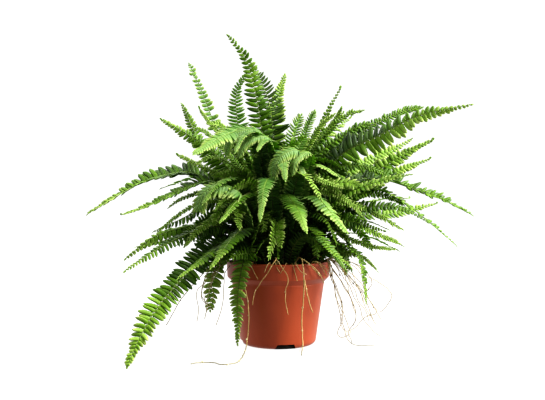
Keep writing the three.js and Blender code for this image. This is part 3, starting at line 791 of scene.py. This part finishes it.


# More fronds, each placed one by one: the width of its blade on each side, its turn, how it differs from the
# plain one, and the points that its stem passes, in mm.
placedFronds = {
    "front_young_fronds": [
        (18, 0.7, dict(youngLook, age=0.8, keel=-0.2, paintedSheen=1.0),
         [(-60, -104, 243), (-88, -118, 249), (-108, -124, 240), (-118, -128, 214)]),
        (14, 0.9, dict(youngLook, age=0.6, reach=1.1, keel=-0.2, paintedSheen=1.0),
         [(-24, -80, 331), (-56, -98, 333), (-73, -104, 319), (-78, -106, 297)]),
        (13, 0.8, dict(youngLook, age=0.7, reach=1.1, keel=-0.2, paintedSheen=1.0),
         [(-12, -84, 322), (-36, -100, 322), (-52, -108, 310), (-58, -110, 294)]),
        (16, 0.8, dict(youngLook, age=0.6, reach=1.1, keel=-0.2, paintedSheen=1.0),
         [(32, -90, 303), (10, -106, 299), (-4, -112, 284), (-9, -114, 262)]),
        (12, 0.7, dict(youngLook, age=0.75, reach=1.0, keel=-0.2),
         [(50, -86, 300), (34, -100, 297), (24, -108, 285), (20, -110, 267)]),
        (16, -1.4, dict(age=0.92, tip=1.0, forward=0.3, pitch=0.75, blunt=2.4, width=0.75, paintedSheen=1.0),
         [(14, -24, 300), (22, -22, 334), (30, -21, 354), (38, -20, 370)]),
        (13, -1.3, dict(age=0.9, tip=1.0, forward=0.3, pitch=0.8, blunt=2.4, width=0.75, paintedSheen=1.0),
         [(30, -30, 304), (42, -28, 334), (51, -26, 358), (59, -24, 376)]),
    ],
    "upper_left_fronds": [
        (6, 1.2, dict(age=0.55, tip=0.85, crozier=2.4),
         [(-62, 0, 300), (-95, 0, 340), (-122, 0, 372), (-131, 0, 386)]),
        (8, 1.0, dict(age=0.6, tip=0.85, crozier=2.2),
         [(-80, -5, 262), (-120, -5, 285), (-150, -5, 300), (-166, -5, 307)]),
        (9, 0.9, dict(age=0.4, tip=0.7),
         [(-60, -20, 280), (-92, -25, 318), (-112, -28, 338), (-132, -30, 348)]),
        (11, 1.0, dict(age=0.5, tip=0.8),
         [(-48, -30, 300), (-74, -40, 335), (-92, -45, 350), (-110, -50, 352)]),
        (8, 0.7, dict(age=0.45, tip=0.8, pitch=1.3),
         [(-50, -40, 262), (-80, -60, 290), (-104, -70, 296), (-128, -74, 284)]),
        (9, 0.8, dict(age=0.6, tip=0.9),
         [(-40, -50, 285), (-66, -74, 316), (-92, -84, 322), (-116, -88, 308)]),
    ],
    "upper_right_fronds": [
        (13, -0.9, dict(age=0.15, tip=0.45, loose=0.3, blunt=4.5),
         [(50, 12, 288), (88, 14, 326), (122, 16, 348), (152, 18, 358)]),
        (12, -0.8, dict(age=0.1, tip=0.5, loose=0.35, blunt=4.5),
         [(56, 2, 278), (98, 4, 306), (136, 4, 322), (172, 4, 334)]),
        (14, -0.9, dict(age=0.08, tip=0.45, blunt=4.5, pitch=0.8),
         [(70, -4, 286), (119, 0, 330), (162, 2, 360), (205, 4, 380), (240, 4, 388)]),
        (9, -1.0, dict(loose=0.5, wave=0.5, pitch=1.3),
         [(62, -5, 320), (96, -5, 358), (120, -5, 376), (140, -5, 381)]),
        (8, -1.1, dict(age=0.35, tip=0.7, crozier=2.0),
         [(54, 0, 310), (80, 0, 346), (98, 0, 370), (106, 0, 386)]),
        (12, -1.0, dict(tip=0.5, loose=0.4, pitch=1.3),
         [(60, -10, 300), (96, -15, 330), (126, -20, 350), (150, -24, 356)]),
        (12, -0.9, dict(age=0.05, tip=0.25),
         [(55, -15, 290), (90, -20, 312), (122, -24, 322), (150, -30, 318)]),
        (9, -1.2, dict(age=0.8, tip=0.95),
         [(40, -20, 300), (58, -24, 336), (72, -26, 356), (90, -30, 370)]),
        (12, -0.8, dict(age=0.1, tip=0.4),
         [(60, -30, 268), (100, -45, 284), (135, -52, 284), (165, -58, 272)]),
    ],
    "lower_right_fronds": [
        (8, -0.6, dict(youngLook, age=0.65, tip=0.85, reach=1.0),
         [(50, -70, 176), (66, -85, 170), (80, -95, 155), (91, -100, 139), (98, -102, 129)]),
        (8, -0.7, dict(age=0.6, tip=0.9),
         [(41, -60, 274), (63, -72, 261), (86, -80, 253), (103, -86, 248)]),
        (10, -0.7, dict(age=0.5, tip=0.85),
         [(78, -55, 210), (108, -70, 199), (146, -80, 180), (182, -84, 165)]),
        (9, -0.7, dict(age=0.8, tip=0.95),
         [(60, -64, 242), (84, -76, 240), (106, -84, 228), (124, -88, 208)]),
        (7, -0.8, dict(age=0.7, tip=0.9),
         [(76, -50, 190), (108, -60, 172), (140, -68, 160), (176, -70, 155)]),
        (6, -0.9, dict(age=0.4, tip=0.9, pitch=1.3),
         [(80, -40, 172), (106, -50, 152), (132, -56, 142), (150, -58, 126)]),
        (10, -0.6, dict(age=0.65, tip=0.9),
         [(84, -48, 226), (120, -60, 222), (156, -66, 206), (190, -70, 186)]),
        (11, -0.8, dict(age=0.2), [(90, -40, 236), (130, -50, 242), (165, -54, 238), (202, -56, 224)]),
    ],
    "lower_left_fronds": [
        (9, 0.6, dict(age=0.4, tip=0.75, pitch=1.4),
         [(-90, -6, 240), (-130, -9, 244), (-160, -11, 234), (-178, -12, 221)]),
        (7, 0.7, dict(tip=0.7, pitch=1.3),
         [(-84, -30, 226), (-124, -40, 226), (-160, -46, 206), (-188, -50, 182)]),
        (7, 0.7, dict(age=0.15, pitch=1.3),
         [(-80, -40, 200), (-120, -52, 194), (-160, -60, 172), (-196, -64, 150)]),
        (9, 0.8, dict(age=0.5, tip=0.8),
         [(-64, -60, 206), (-96, -84, 200), (-120, -98, 184), (-138, -106, 162)]),
    ],
}


placedShape = {"soil": 119, "from": 0.35, "to": 0.92, "taper": 0.55, "widest": 0.55, "spread": 0.45}


def placedFrond(shape, grid, width, roll, changes, points, chances):
    x, y, z = points[0]
    soil = placedShape["soil"]
    foot = (x * 0.35, y * 0.35, soil)
    middle = (x * 0.62, y * 0.62, soil + (z - soil) * 0.55)
    stem = Curve(np.array([foot, middle, *points]) * mm)
    sides = bladeAcross(stem, width, placedShape, roll)
    frond(shape, grid, stem, sides, {**plainLook, "loose": 0.2, **changes}, chances)


for name, rows in placedFronds.items():
    shape, chances = Shape(), random.Random(name)
    grid = fineLeaf if name == "front_young_fronds" else plainLeaf
    for width, roll, changes, points in rows:
        placedFrond(shape, grid, width, roll, changes, points, chances)
    shape.piece(name, leafMaterial, "leaf_mid")
print("inner fronds made")


potShape = {
    "height": 133, "lipRadius": 85, "wall": 2.6, "floor": 3,
    "bandLow": 108, "bandRadius": 83.2, "chamferLow": 101, "neckRadius": 76,
    "grooveHeight": 99.2, "grooveDepth": 0.15, "baseRadius": 60.9, "corner": 8,
    "recessRadius": 48, "recess": 1.4, "sides": 160, "wave": 0.55,
}
drainShape = {
    "count": 4, "direction": 281, "width": 33, "topWidth": 26, "height": 7.8, "depth": 16, "flare": 0.9,
    "below": -1.2, "corner": 1.2, "past": 6,
}


def potBody():
    p = potShape
    neck, groove, wall = p["neckRadius"], p["grooveHeight"], p["wall"]
    outline = [
        (0, p["recess"]), (p["recessRadius"], p["recess"], 0.8), (p["recessRadius"] + 1.6, 0, 0.5),
        (p["baseRadius"], 0, p["corner"]), (neck - 0.7, groove - 1.2, 0.4),
        (neck - 0.6 - p["grooveDepth"], groove, 0.3), (neck - 0.1, groove + 0.9, 0.4),
        (neck + 0.3, p["chamferLow"], 1.0), (p["bandRadius"], p["bandLow"], 2.0),
        (p["lipRadius"] - 0.35, p["height"] - 3.4, 0.6), (p["lipRadius"], p["height"] - 2.6, 0.5),
        (p["lipRadius"] - 0.1, p["height"], 1.2), (p["lipRadius"] - wall, p["height"], 1.0),
        (p["bandRadius"] - wall, p["bandLow"] + 1, 1.5), (neck - wall - 0.6, groove, 1.5),
        (p["baseRadius"] - wall + 0.8, p["floor"], 3), (0, p["floor"]),
    ]
    line = rounded(outline, 6)
    dense = [line[0]]
    for point in line[1:]:
        pieces = max(1, int(np.linalg.norm(point - dense[-1]) / 6))
        start = dense[-1]
        dense += [start + (point - start) * (i + 1) / pieces for i in range(pieces)]
    points, faces = lathe(dense, p["sides"])
    turn = np.arctan2(points[:, 1], points[:, 0])
    high = smooth(p["neckRadius"] * mm, p["height"] * mm, points[:, 2])
    swell = np.sin(3 * turn + 0.6) * 0.5 + np.sin(5 * turn + 2.1) * 0.3 + np.sin(2 * turn + 4) * 0.4
    size = 1 + swell * high * p["wave"] / p["lipRadius"]
    points[:, 0] *= size
    points[:, 1] *= size
    points[:, 2] -= (0.5 + 0.5 * np.sin(4 * turn + 1.2)) * high ** 4 * p["wave"] * mm
    return points, faces


def cutDrains(pot):
    # Notches through the lower corner. Their top corners are round.
    d = drainShape
    wide, top = d["width"] / 2, d["topWidth"] / 2
    low, high, corner = d["below"], d["height"], d["corner"]
    foot = (-wide - d["flare"], low)
    line = rounded([foot, (wide + d["flare"], low), (top, high, corner), (-top, high, corner), foot], 4)[:-1]
    shape = Shape()
    for i in range(d["count"]):
        turn = math.radians(d["direction"] + 360 * i / d["count"])
        out = np.array([math.cos(turn), math.sin(turn), 0])
        side = np.array([-math.sin(turn), math.cos(turn), 0])
        far = (potShape["baseRadius"] + d["past"]) * mm
        points = []
        for reach in (far - d["depth"] * mm, far):
            points += [out * reach + side * x * mm + np.array([0, 0, y * mm]) for x, y in line]
        n = len(line)
        faces = [list(range(n))[::-1], list(range(n, 2 * n))]
        faces += [[k, (k + 1) % n, (k + 1) % n + n, k + n] for k in range(n)]
        shape.add(points, faces)
    mesh = shape.mesh("drainTool")
    tool = linked("drainTool", mesh)
    cut = pot.modifiers.new("drains", "BOOLEAN")
    cut.operation, cut.object, cut.solver = "DIFFERENCE", tool, "EXACT"
    applyModifiers(pot)
    bpy.data.objects.remove(tool)
    bpy.data.meshes.remove(mesh)


def applyModifiers(made):
    bpy.context.view_layer.update()
    finished = bpy.data.meshes.new_from_object(made.evaluated_get(bpy.context.evaluated_depsgraph_get()))
    made.modifiers.clear()
    old, made.data = made.data, finished
    finished.name = made.name
    bpy.data.meshes.remove(old)


def potPaint():
    paint = Paint("terracottaPlastic")
    where = paint.place()
    z = paint.node("SeparateXYZ", {}, {0: where}, 2)
    cloud = paint.noise(where, 14.0, 3.0)
    grain = paint.noise(where, 700.0, 3.0)
    flat = paint.node("VectorMath", {"operation": "MULTIPLY"}, {0: where, 1: (1, 1, 0.06)})
    streaks = paint.noise(flat, 160.0, 3.0)
    stretched = paint.node("VectorMath", {"operation": "MULTIPLY"}, {0: where, 1: (1, 1, 9)})
    scuffs = paint.noise(stretched, 90.0, 5.0, 0.7).rise(0.62, 0.78)
    # Dust at the foot, which also paints a dark contact shade along the bottom edge.
    footDustAndShade = (1 - z.rise(0.001, 0.012)) * grain.rise(0.4, 0.7)
    soilMark = z.rise(0.128, 0.1335) * paint.noise(where, 220.0, 3.0).rise(0.5, 0.7)
    colour = paint.layers(
        (0.45, 0.088, 0.031),
        (cloud.rise(0.35, 0.65), (0.50, 0.103, 0.037)),
        ((1 - z.rise(0.0, 0.05)) * 0.6, (0.50, 0.092, 0.028)),
        (streaks.rise(0.5, 0.72) * 0.06, (0.46, 0.13, 0.06)),
        (scuffs * 0.08, (0.56, 0.22, 0.13)),
        (footDustAndShade * 0.35, (0.10, 0.045, 0.022)),
        (soilMark * 0.4, (0.12, 0.06, 0.03)),
    )
    rough = 0.36 + cloud * 0.08 + grain * 0.06 + scuffs * 0.14
    height = grain * 0.25 + streaks * 0.5 - scuffs * 0.3
    normal = paint.bump(height, 0.25, 0.3 * mm)
    skin = paint.principled(Base_Color=colour, Roughness=rough, Normal=normal, IOR=1.4, Coat_Weight=0.35,
                            Coat_Roughness=0.38)
    return paint.surface(skin)


turnedPot = Shape()
turnedPot.add(*potBody())
pot = turnedPot.piece("nursery_pot", potPaint(), "terracotta_plastic", ["pot"])
cutDrains(pot)
pot.data.set_sharp_from_angle(angle=math.radians(42))
print("pot made")


peatShape = {
    "edge": 118, "middle": 123, "radius": 80.2, "bottom": 4, "rings": 46, "sides": 150, "rough": 1.6,
    "crumbs": 900, "plugFrom": 51.5, "plugTo": 57, "plugWidth": 44, "plugDepth": 15, "plugTop": 8,
}


def bumps(points, seed, octaves):
    # Smooth unevenness from a few sine waves in random directions.
    chances = random.Random(seed)
    total = np.zeros(len(points))
    for size, height in octaves:
        for _ in range(7):
            way = unit(scatter(chances))
            phases = points @ way * 2 * math.pi / (size * mm) + chances.random() * 7
            total += np.sin(phases) * height / 2.6
    return total * mm


def peatPaint():
    paint = Paint("peat")
    where = paint.place()
    lumps = paint.noise(where, 260.0, 4.0, 0.65)
    fibres = paint.noise(where, 1100.0, 3.0, 0.7)
    colour = paint.mix(lumps.rise(0.35, 0.7), (0.006, 0.0035, 0.002), (0.034, 0.020, 0.011))
    colour = paint.mix(fibres.rise(0.62, 0.75) * 0.6, colour, (0.10, 0.062, 0.032))
    normal = paint.bump(lumps * 0.7 + fibres * 0.4, 0.8, 0.9 * mm)
    rough = 0.82 + fibres * 0.15
    return paint.surface(paint.principled(Base_Color=colour, Roughness=rough, Normal=normal))


def peatHeight(distance):
    share = np.clip(distance / (peatShape["radius"] * mm), 0, 1) ** 2
    return (peatShape["middle"] * (1 - share) + peatShape["edge"] * share) * mm


def makePeat():
    p = peatShape
    top = [(p["radius"] * (i / p["rings"]), 0) for i in range(p["rings"], 0, -1)]
    low = [(0, p["bottom"]), (56, p["bottom"]), (72.4, 99), (79.6, 108)]
    points, faces = lathe(low + top + [(0, 0)], p["sides"])
    firstTop = 1 + 3 * p["sides"]
    upper = points[firstTop:]
    far = np.hypot(upper[:, 0], upper[:, 1])
    upper[:, 2] = peatHeight(far) + bumps(upper, 4, [(9, p["rough"] * 0.5), (4, p["rough"] * 0.35)])
    shape = Shape()
    shape.add(points, faces)
    chances = random.Random(12)
    for _ in range(p["crumbs"]):
        distance = p["radius"] * math.sqrt(chances.random()) - 1.5
        size = (1.1 + 2.6 * chances.random() ** 2) * mm
        centre = polar(chances.random() * 360, abs(distance), 0)
        centre[2] = float(peatHeight(np.hypot(centre[0], centre[1]))) + size * (0.1 + 0.3 * chances.random())
        tilt = scatter(chances)
        ball(shape, centre, tilt, size * (1.1 + chances.random()), size, 4, 5)
        made = shape.points[-1]
        made += np.array([scatter(chances, 0.14) for _ in made]) * size
    # Dark peat fills each drain notch, where it stands in for the deep shade inside the notch.
    for i in range(drainShape["count"]):
        turn = drainShape["direction"] + 360 * i / drainShape["count"]
        aside = polar(turn + 90, 1, 0) / mm
        ball(shape, polar(turn, p["plugFrom"], p["plugTop"] / 2), aside, p["plugWidth"] * mm,
             p["plugDepth"] * mm, 14, 12)
        made = shape.points[-1]
        far = np.hypot(made[:, 0], made[:, 1])
        made[:, :2] *= (np.minimum(far, p["plugTo"] * mm) / far)[:, None]
        made[:, 2] = np.clip(made[:, 2] + bumps(made, 9 + i, [(5, 0.4)]), 0.3 * mm, p["plugTop"] * mm)
    shape.piece("peat_surface", peatPaint(), "peat", ["soil"])


makePeat()
print("peat made")


crownShape = {"radius": 8.6, "base": 121, "height": 18, "scales": 90, "turn": 2.39996}


def scalePaint():
    paint = Paint("crownScales")
    along, tone, _ = paint.mark("scaleAt")
    where = paint.place()
    hairs = paint.noise(where, 900.0, 4.0, 0.7)
    colour = paint.mix(tone, (0.075, 0.035, 0.014), (0.20, 0.105, 0.042))
    colour = paint.mix(along.rise(0.3, 1.0) * 0.7, colour, (0.34, 0.22, 0.11))
    colour = paint.mix(hairs * 0.4, colour, (0.05, 0.025, 0.012))
    normal = paint.bump(hairs, 0.6, 0.4 * mm)
    rough = 0.6 + hairs * 0.25
    return paint.surface(paint.principled(Base_Color=colour, Roughness=rough, Normal=normal))


def scaleRadius(share):
    return (0.9 * math.sin(min(1, share + 0.25) * math.pi * 0.97) + 0.08) * mm


def makeCrown():
    c = crownShape
    shape = Shape()
    shares = [(0, 0), (0.95, 0), (1, 0.3), (0.86, 0.62), (0.5, 0.88), (0.2, 0.99), (0, 1)]
    points, faces = lathe([(x * c["radius"] * 0.9, c["base"] + y * c["height"] * 0.9) for x, y in shares], 24)
    shape.add(points, faces, scaleAt=(0.1, 0.3, 0))
    chances = random.Random(31)
    for i in range(c["scales"]):
        share = (i + 0.5) / c["scales"]
        turn = i * c["turn"]
        out = c["radius"] * 0.88 * math.cos(share * 1.45)
        root = polar(math.degrees(turn), out, c["base"] + 1 + c["height"] * 0.86 * math.sin(share * 1.45))
        way = unit(np.array([math.cos(turn) * 0.55, math.sin(turn) * 0.55, 1.1]))
        length = (4.5 + 3 * chances.random()) * mm
        path = Curve([root, root + way * length * 0.5 + np.array([0, 0, 0.4 * mm]), root + way * length])
        tone = chances.random()

        def marks(shares, tone=tone):
            return np.stack([shares, 0 * shares + tone, 0 * shares], axis=1)

        tube(shape, path, scaleRadius, 5, 1.2 * mm, scaleAt=marks)
    shape.piece("crown_scales", scalePaint(), "rhizome_scale", ["crown"])


makeCrown()
print("crown made")


runnerShape = {
    "radius": 1.0, "fine": 0.62, "rim": 0.85, "taper": 0.7, "sides": 8, "step": 3, "wobble": 0.5,
    "foot": (70, 121), "over": (82.5, 135.5),
}
# What each runner looks like: its thickness, how far apart its buds stand, in mm, and how much painted shade
# darkens its colour.
runnerLooks = {
    "runner_long": (0.9, 34, 0), "runner_front": (0.8, 36, 0), "runner_centre": (0.95, 28, 0),
    "runner_right_near": (0.62, 24, 0.5), "runner_right_far": (0.6, 26, 0.5), "runner_left": (0.75, 30, 0.8),
    "runner_back": (0.85, 28, 0),
}
# Fine strands that hang outside the rim. The first and last depth are given, then the points that the
# strand passes as (x, height), then the places of its buds, if any, as shares of its length.
fineStrands = {
    "right_strands": [
        (-30, -38, [(84, 109), (89, 96), (92, 75), (100, 58), (102, 46), (100, 35), (94, 24), (95, 16),
         (103, 15), (113, 20)]),
        (-22, -20, [(85, 112), (95, 91), (98, 79), (103, 64), (103, 51), (101, 43), (100, 34), (105, 24),
         (113, 20)], 0.3, 0.62),
        (-12, -16, [(89, 119), (100, 104), (107, 91), (116, 77), (121, 62), (126, 46), (126, 40),
         (119, 28), (113, 20), (117, 9), (119, 1)], 0.24),
        (0, -10, [(96, 128), (108, 116), (116, 106), (123, 96), (132, 87), (137, 76), (141, 60),
         (149, 46), (154, 38), (160, 29)], 0.2, 0.5, 0.62),
        (10, 0, [(98, 132), (113, 130), (120, 119), (125, 108), (129, 93), (136, 80), (141, 66)], 0.36),
        (4, 4, [(104, 124), (110, 111), (113, 101), (115, 94), (116, 85), (118, 75), (124, 62)]),
        (-6, -2, [(106, 116), (113, 108), (119, 96), (126, 85), (129, 74), (134, 64), (141, 56),
         (145, 46), (149, 34)], 0.42),
        (14, 20, [(104, 134), (128, 127), (138, 119), (145, 109), (152, 104), (160, 101), (168, 96),
         (180, 88), (188, 80), (191, 72), (186, 63), (178, 51), (170, 45)]),
        (8, 12, [(112, 130), (130, 120), (138, 109), (142, 97), (143, 86)], 0.92),
        (16, 6, [(138, 96), (144, 84), (150, 71), (157, 60), (164, 47), (142, 38), (130, 24), (118, 18)]),
        (-30, -33, [(86, 110), (90, 90), (96, 60), (104, 30), (112, 8), (126, 0.6), (140, 0.6),
         (152, 0.6)]),
        (-6, -12, [(92, 128), (97, 120), (101, 113), (101, 108)], 0.95),
        (-2, -8, [(96, 124), (106, 108), (118, 90), (124, 74), (133, 60), (138, 40), (146, 30), (158, 16),
         (166, 12)]),
    ],
    "left_strands": [
        (-30, -40, [(-98, 128), (-117, 100), (-129, 88), (-128, 72), (-126, 58), (-128, 40)]),
        (-40, -46, [(-98, 126), (-108, 100), (-115, 84), (-113, 60)]),
        (-50, -52, [(-96, 122), (-104, 96), (-100, 84), (-106, 72), (-112, 56)]),
        (-44, -48, [(-100, 118), (-118, 96), (-120, 78), (-107, 64), (-102, 60)], 0.4),
        (-60, -62, [(-82, 118), (-84, 92), (-86, 70), (-90, 56), (-96, 38)]),
    ],
    "rim_strands": [
        (-79, -78, [(-43, 134), (-37, 121), (-31, 110)]),
        (-84, -86, [(-5, 133), (-1, 127), (2, 121)]),
        (-85, -84, [(12, 133), (7, 126), (2, 119)]),
        (-82, -84, [(21, 134), (24, 124), (28, 108)], 0.3),
        (-83, -84, [(27, 134), (31, 124), (42, 118)], 0.25),
        (-74, -72, [(46, 134), (53, 126), (64, 114)], 0.12),
        (-66, -60, [(54, 137), (66, 128), (74, 112)], 0.5, 0.8),
        (-60, -50, [(58, 137), (74, 124), (84, 106)]),
        (-84, -85, [(-14, 134), (-18, 128), (-21, 121)]),
    ],
}


def strawPaint():
    paint = Paint("strawRunner")
    paintedShade, tone, bud = paint.mark("strawAt")
    where = paint.place()
    mottle = paint.noise(where, 260.0, 3.0)
    fibre = paint.noise(where, 1400.0, 3.0)
    shaded = paint.mix(mottle.rise(0.35, 0.65), (0.17, 0.16, 0.085), (0.30, 0.29, 0.17))
    colour = paint.layers(
        (0.58, 0.38, 0.13),
        (mottle.rise(0.3, 0.7), (0.85, 0.64, 0.30)),
        (tone, (0.55, 0.47, 0.18)),
        (bud * 0.8, (0.88, 0.82, 0.52)),
        # Painted shade: shaded runners are mixed toward a dull grey-olive, and their buds toward dark brown.
        (paintedShade, shaded),
        (paintedShade * bud, (0.10, 0.07, 0.035)),
        (fibre.rise(0.55, 0.75) * 0.35, (0.22, 0.13, 0.055)),
    )
    normal = paint.bump(fibre * 0.5 + mottle * 0.4, 0.4, 0.3 * mm)
    rough = 0.42 + fibre * 0.2
    skin = paint.principled(Base_Color=colour, Roughness=rough, Normal=normal)
    return paint.letThrough(0.15, skin, (0.7, 0.55, 0.28))


def rootletRadius(share):
    return (0.28 - 0.14 * share) * mm


def strand(shape, curve, radius, chances, start, budsApart, tone, paintedShade):
    # A runner with swollen buds and short rootlets along it.
    count = max(3, int(curve.length / (7 * mm)))
    points = np.array([curve.at(s) for s in np.linspace(0, curve.length, count)])
    shake = np.array([scatter(chances) for _ in points]) * runnerShape["wobble"] * mm
    shake[0], shake[-1] = 0, 0
    points = points + shake * 0.6
    points[:, 2] = np.maximum(points[:, 2], radius + 0.2 * mm)
    path = Curve(points, 1.2 * mm)

    def marks(shares):
        heights = path.at(start + (path.length - start) * shares)[:, 2]
        # Painted shade: the runner's own share, and more where it runs near the floor.
        floorShade = 0.9 * (1 - smooth(4 * mm, 16 * mm, heights))
        return np.stack([np.maximum(paintedShade, floorShade), tone + 0 * shares, 0 * shares], axis=1)

    tube(shape, path, lambda share: radius * (1 - (1 - runnerShape["taper"]) * share), runnerShape["sides"],
         runnerShape["step"] * mm, start, strawAt=marks)
    s = start + 14 * mm
    while budsApart and s < path.length - 4 * mm:
        along = path.along(s)
        aside = unit(np.cross(along, scatter(chances)))
        size = (1.4 + 1.0 * chances.random()) * radius
        bud(shape, path.at(s) + aside * size * 0.45, along + aside * 0.6, size, (paintedShade, tone, 1))
        if chances.random() < 0.4:
            root = path.at(s)
            out = unit(aside + along * 0.5)
            reach = (5 + 9 * chances.random()) * mm
            line = []
            for t in (0, 0.35, 0.7, 1):
                x, y, z = root + out * reach * t + np.array([0, 0, -0.3 * reach * t * t])
                line.append((x, y, max(z, 0.6 * mm)))
            tube(shape, Curve(line), rootletRadius, 4, 3 * mm, strawAt=(paintedShade, 0.1, 0))
        s += budsApart * (0.6 + 0.8 * chances.random()) * mm
    return path


def bud(shape, centre, along, size, mark):
    ball(shape, centre, along, size * 2.2, size * 1.3, 6, 7, strawAt=mark)
    made = shape.points[-1]
    made[:, 2] = np.maximum(made[:, 2], 0.3 * mm)


strawMaterial = strawPaint()
for number, (node, (thick, apart, paintedShade)) in enumerate(runnerLooks.items()):
    points, joined, stems = readStems(node, 2.6 * mm, 8 * mm)
    shape, chances = Shape(), random.Random(500 + number)
    for stem in stems:
        radius = runnerShape["radius"] * thick * mm
        strand(shape, stem, radius, chances, stem.start, apart, chances.random() * 0.5, paintedShade)
    shape.piece(node.removeprefix("runner_") + "_runner", strawMaterial, "runner_straw", [node])
for name, rows in fineStrands.items():
    shape, chances = Shape(), random.Random(len(name))
    onRim = name == "rim_strands"
    for first, last, points, *buds in rows:
        x = points[0][0]
        line = []
        for far, height in (runnerShape["foot"], runnerShape["over"]):
            line.append((*(np.array([x, first]) * (far / math.hypot(x, first))), height))
        depths = np.linspace(first, last, len(points))
        line += [(px, y, pz) for (px, pz), y in zip(points, depths)]
        radius = runnerShape["rim" if onRim else "fine"] * mm
        # Strands outside the rim get more painted shade than those on the rim.
        path = strand(shape, Curve(np.array(line) * mm), radius, chances, 0, 0, 0.1, 0.1 if onRim else 0.55)
        for share in buds:
            s = path.length * share
            bud(shape, path.at(s), path.along(s), (0.8 if onRim else 1.8) * mm, (0 if onRim else 1, 0, 0.9))
    shape.piece(name, strawMaterial, "runner_straw")
print("runners made")


studio = {
    "floorSize": 60, "floorGlow": 0.67, "skyFront": (-0.6, 0.3), "skyBack": (0.6, 0.62), "white": 0.76,
    "look": "High Contrast", "aim": (0, 0, 0.2),
    "sun": {"toward": (0.75, -0.1, 1.2), "angle": 24, "strength": 6.2},
    "back": {"place": (-0.5, 1.3, 1.3), "size": 1.2, "power": 9},
    "side": {"place": (1.15, -0.42, 0.45), "size": 0.6, "power": 13},
    "left": {"place": (-1.0, 0.0, 1.05), "size": 1.0, "power": 7},
    "camera": {"place": (-0.009, -0.990, 0.200), "tilt": 91.9, "lens": 39.63, "sensor": 36},
}


def floorPaint():
    paint = Paint("paleFloor")
    where = paint.place()
    soft = paint.noise(where, 3.0, 2.0)
    colour = paint.mix(soft, (0.05, 0.05, 0.05), (0.055, 0.055, 0.055))
    return paint.surface(paint.principled(Base_Color=colour, Roughness=0.8, Emission_Color=(1, 1, 1, 1),
                                          Emission_Strength=studio["floorGlow"]))


def skyPaint():
    # A sky that is brighter at the back. The camera sees it plain white.
    paint = Paint("studio", bpy.data.worlds)
    y = paint.node("SeparateXYZ", {}, {0: paint.place("Generated")}, 1)
    (front, frontLight), (back, backLight) = studio["skyFront"], studio["skyBack"]
    strength = paint.node("MapRange", {}, {0: y, 1: front, 2: back, 3: frontLight, 4: backLight})
    light = paint.node("Background", {}, {"Color": (1, 1, 1, 1), "Strength": strength})
    plain = paint.node("Background", {}, {"Color": (1, 1, 1, 1), "Strength": studio["white"]})
    seen = paint.node("LightPath", {}, {}, "Is Camera Ray")
    return paint.surface(paint.node("MixShader", {}, {0: seen, 1: light, 2: plain}), "World")


def makeStudio():
    half = studio["floorSize"] / 2
    corners = [(-half, -half, 0), (half, -half, 0), (half, half, 0), (-half, half, 0)]
    floor = linked("studioFloor", meshOf("studioFloor", corners, [(0, 1, 2, 3)]))
    floor.data.materials.append(floorPaint())
    floor.visible_diffuse = floor.visible_glossy = False  # the floor throws no light on the plant
    bpy.context.scene.world = skyPaint()
    sun = bpy.data.lights.new("sunLight", "SUN")
    sun.angle, sun.energy = math.radians(studio["sun"]["angle"]), studio["sun"]["strength"]
    lamps = [(sun, studio["sun"]["toward"])]
    for name in ("back", "side", "left"):
        lamp = bpy.data.lights.new(name + "Light", "AREA")
        lamp.size, lamp.energy = studio[name]["size"], studio[name]["power"]
        lamps.append((lamp, studio[name]["place"]))
    for lamp, place in lamps:
        made = linked(lamp.name, lamp)
        made.location = place
        made.rotation_euler = (Vector(place) - Vector(studio["aim"])).to_track_quat("Z", "Y").to_euler()
    bpy.context.scene.view_settings.view_transform = "Standard"
    bpy.context.scene.view_settings.look = studio["look"]
    view = studio["camera"]
    lens = bpy.data.cameras.new("studioCamera")
    lens.sensor_width, lens.lens = view["sensor"], view["lens"]
    camera = linked("studioCamera", lens)
    camera.location = view["place"]
    camera.rotation_euler = (math.radians(view["tilt"]), 0, 0)
    bpy.context.scene.camera = camera


makeStudio()
print("studio made")
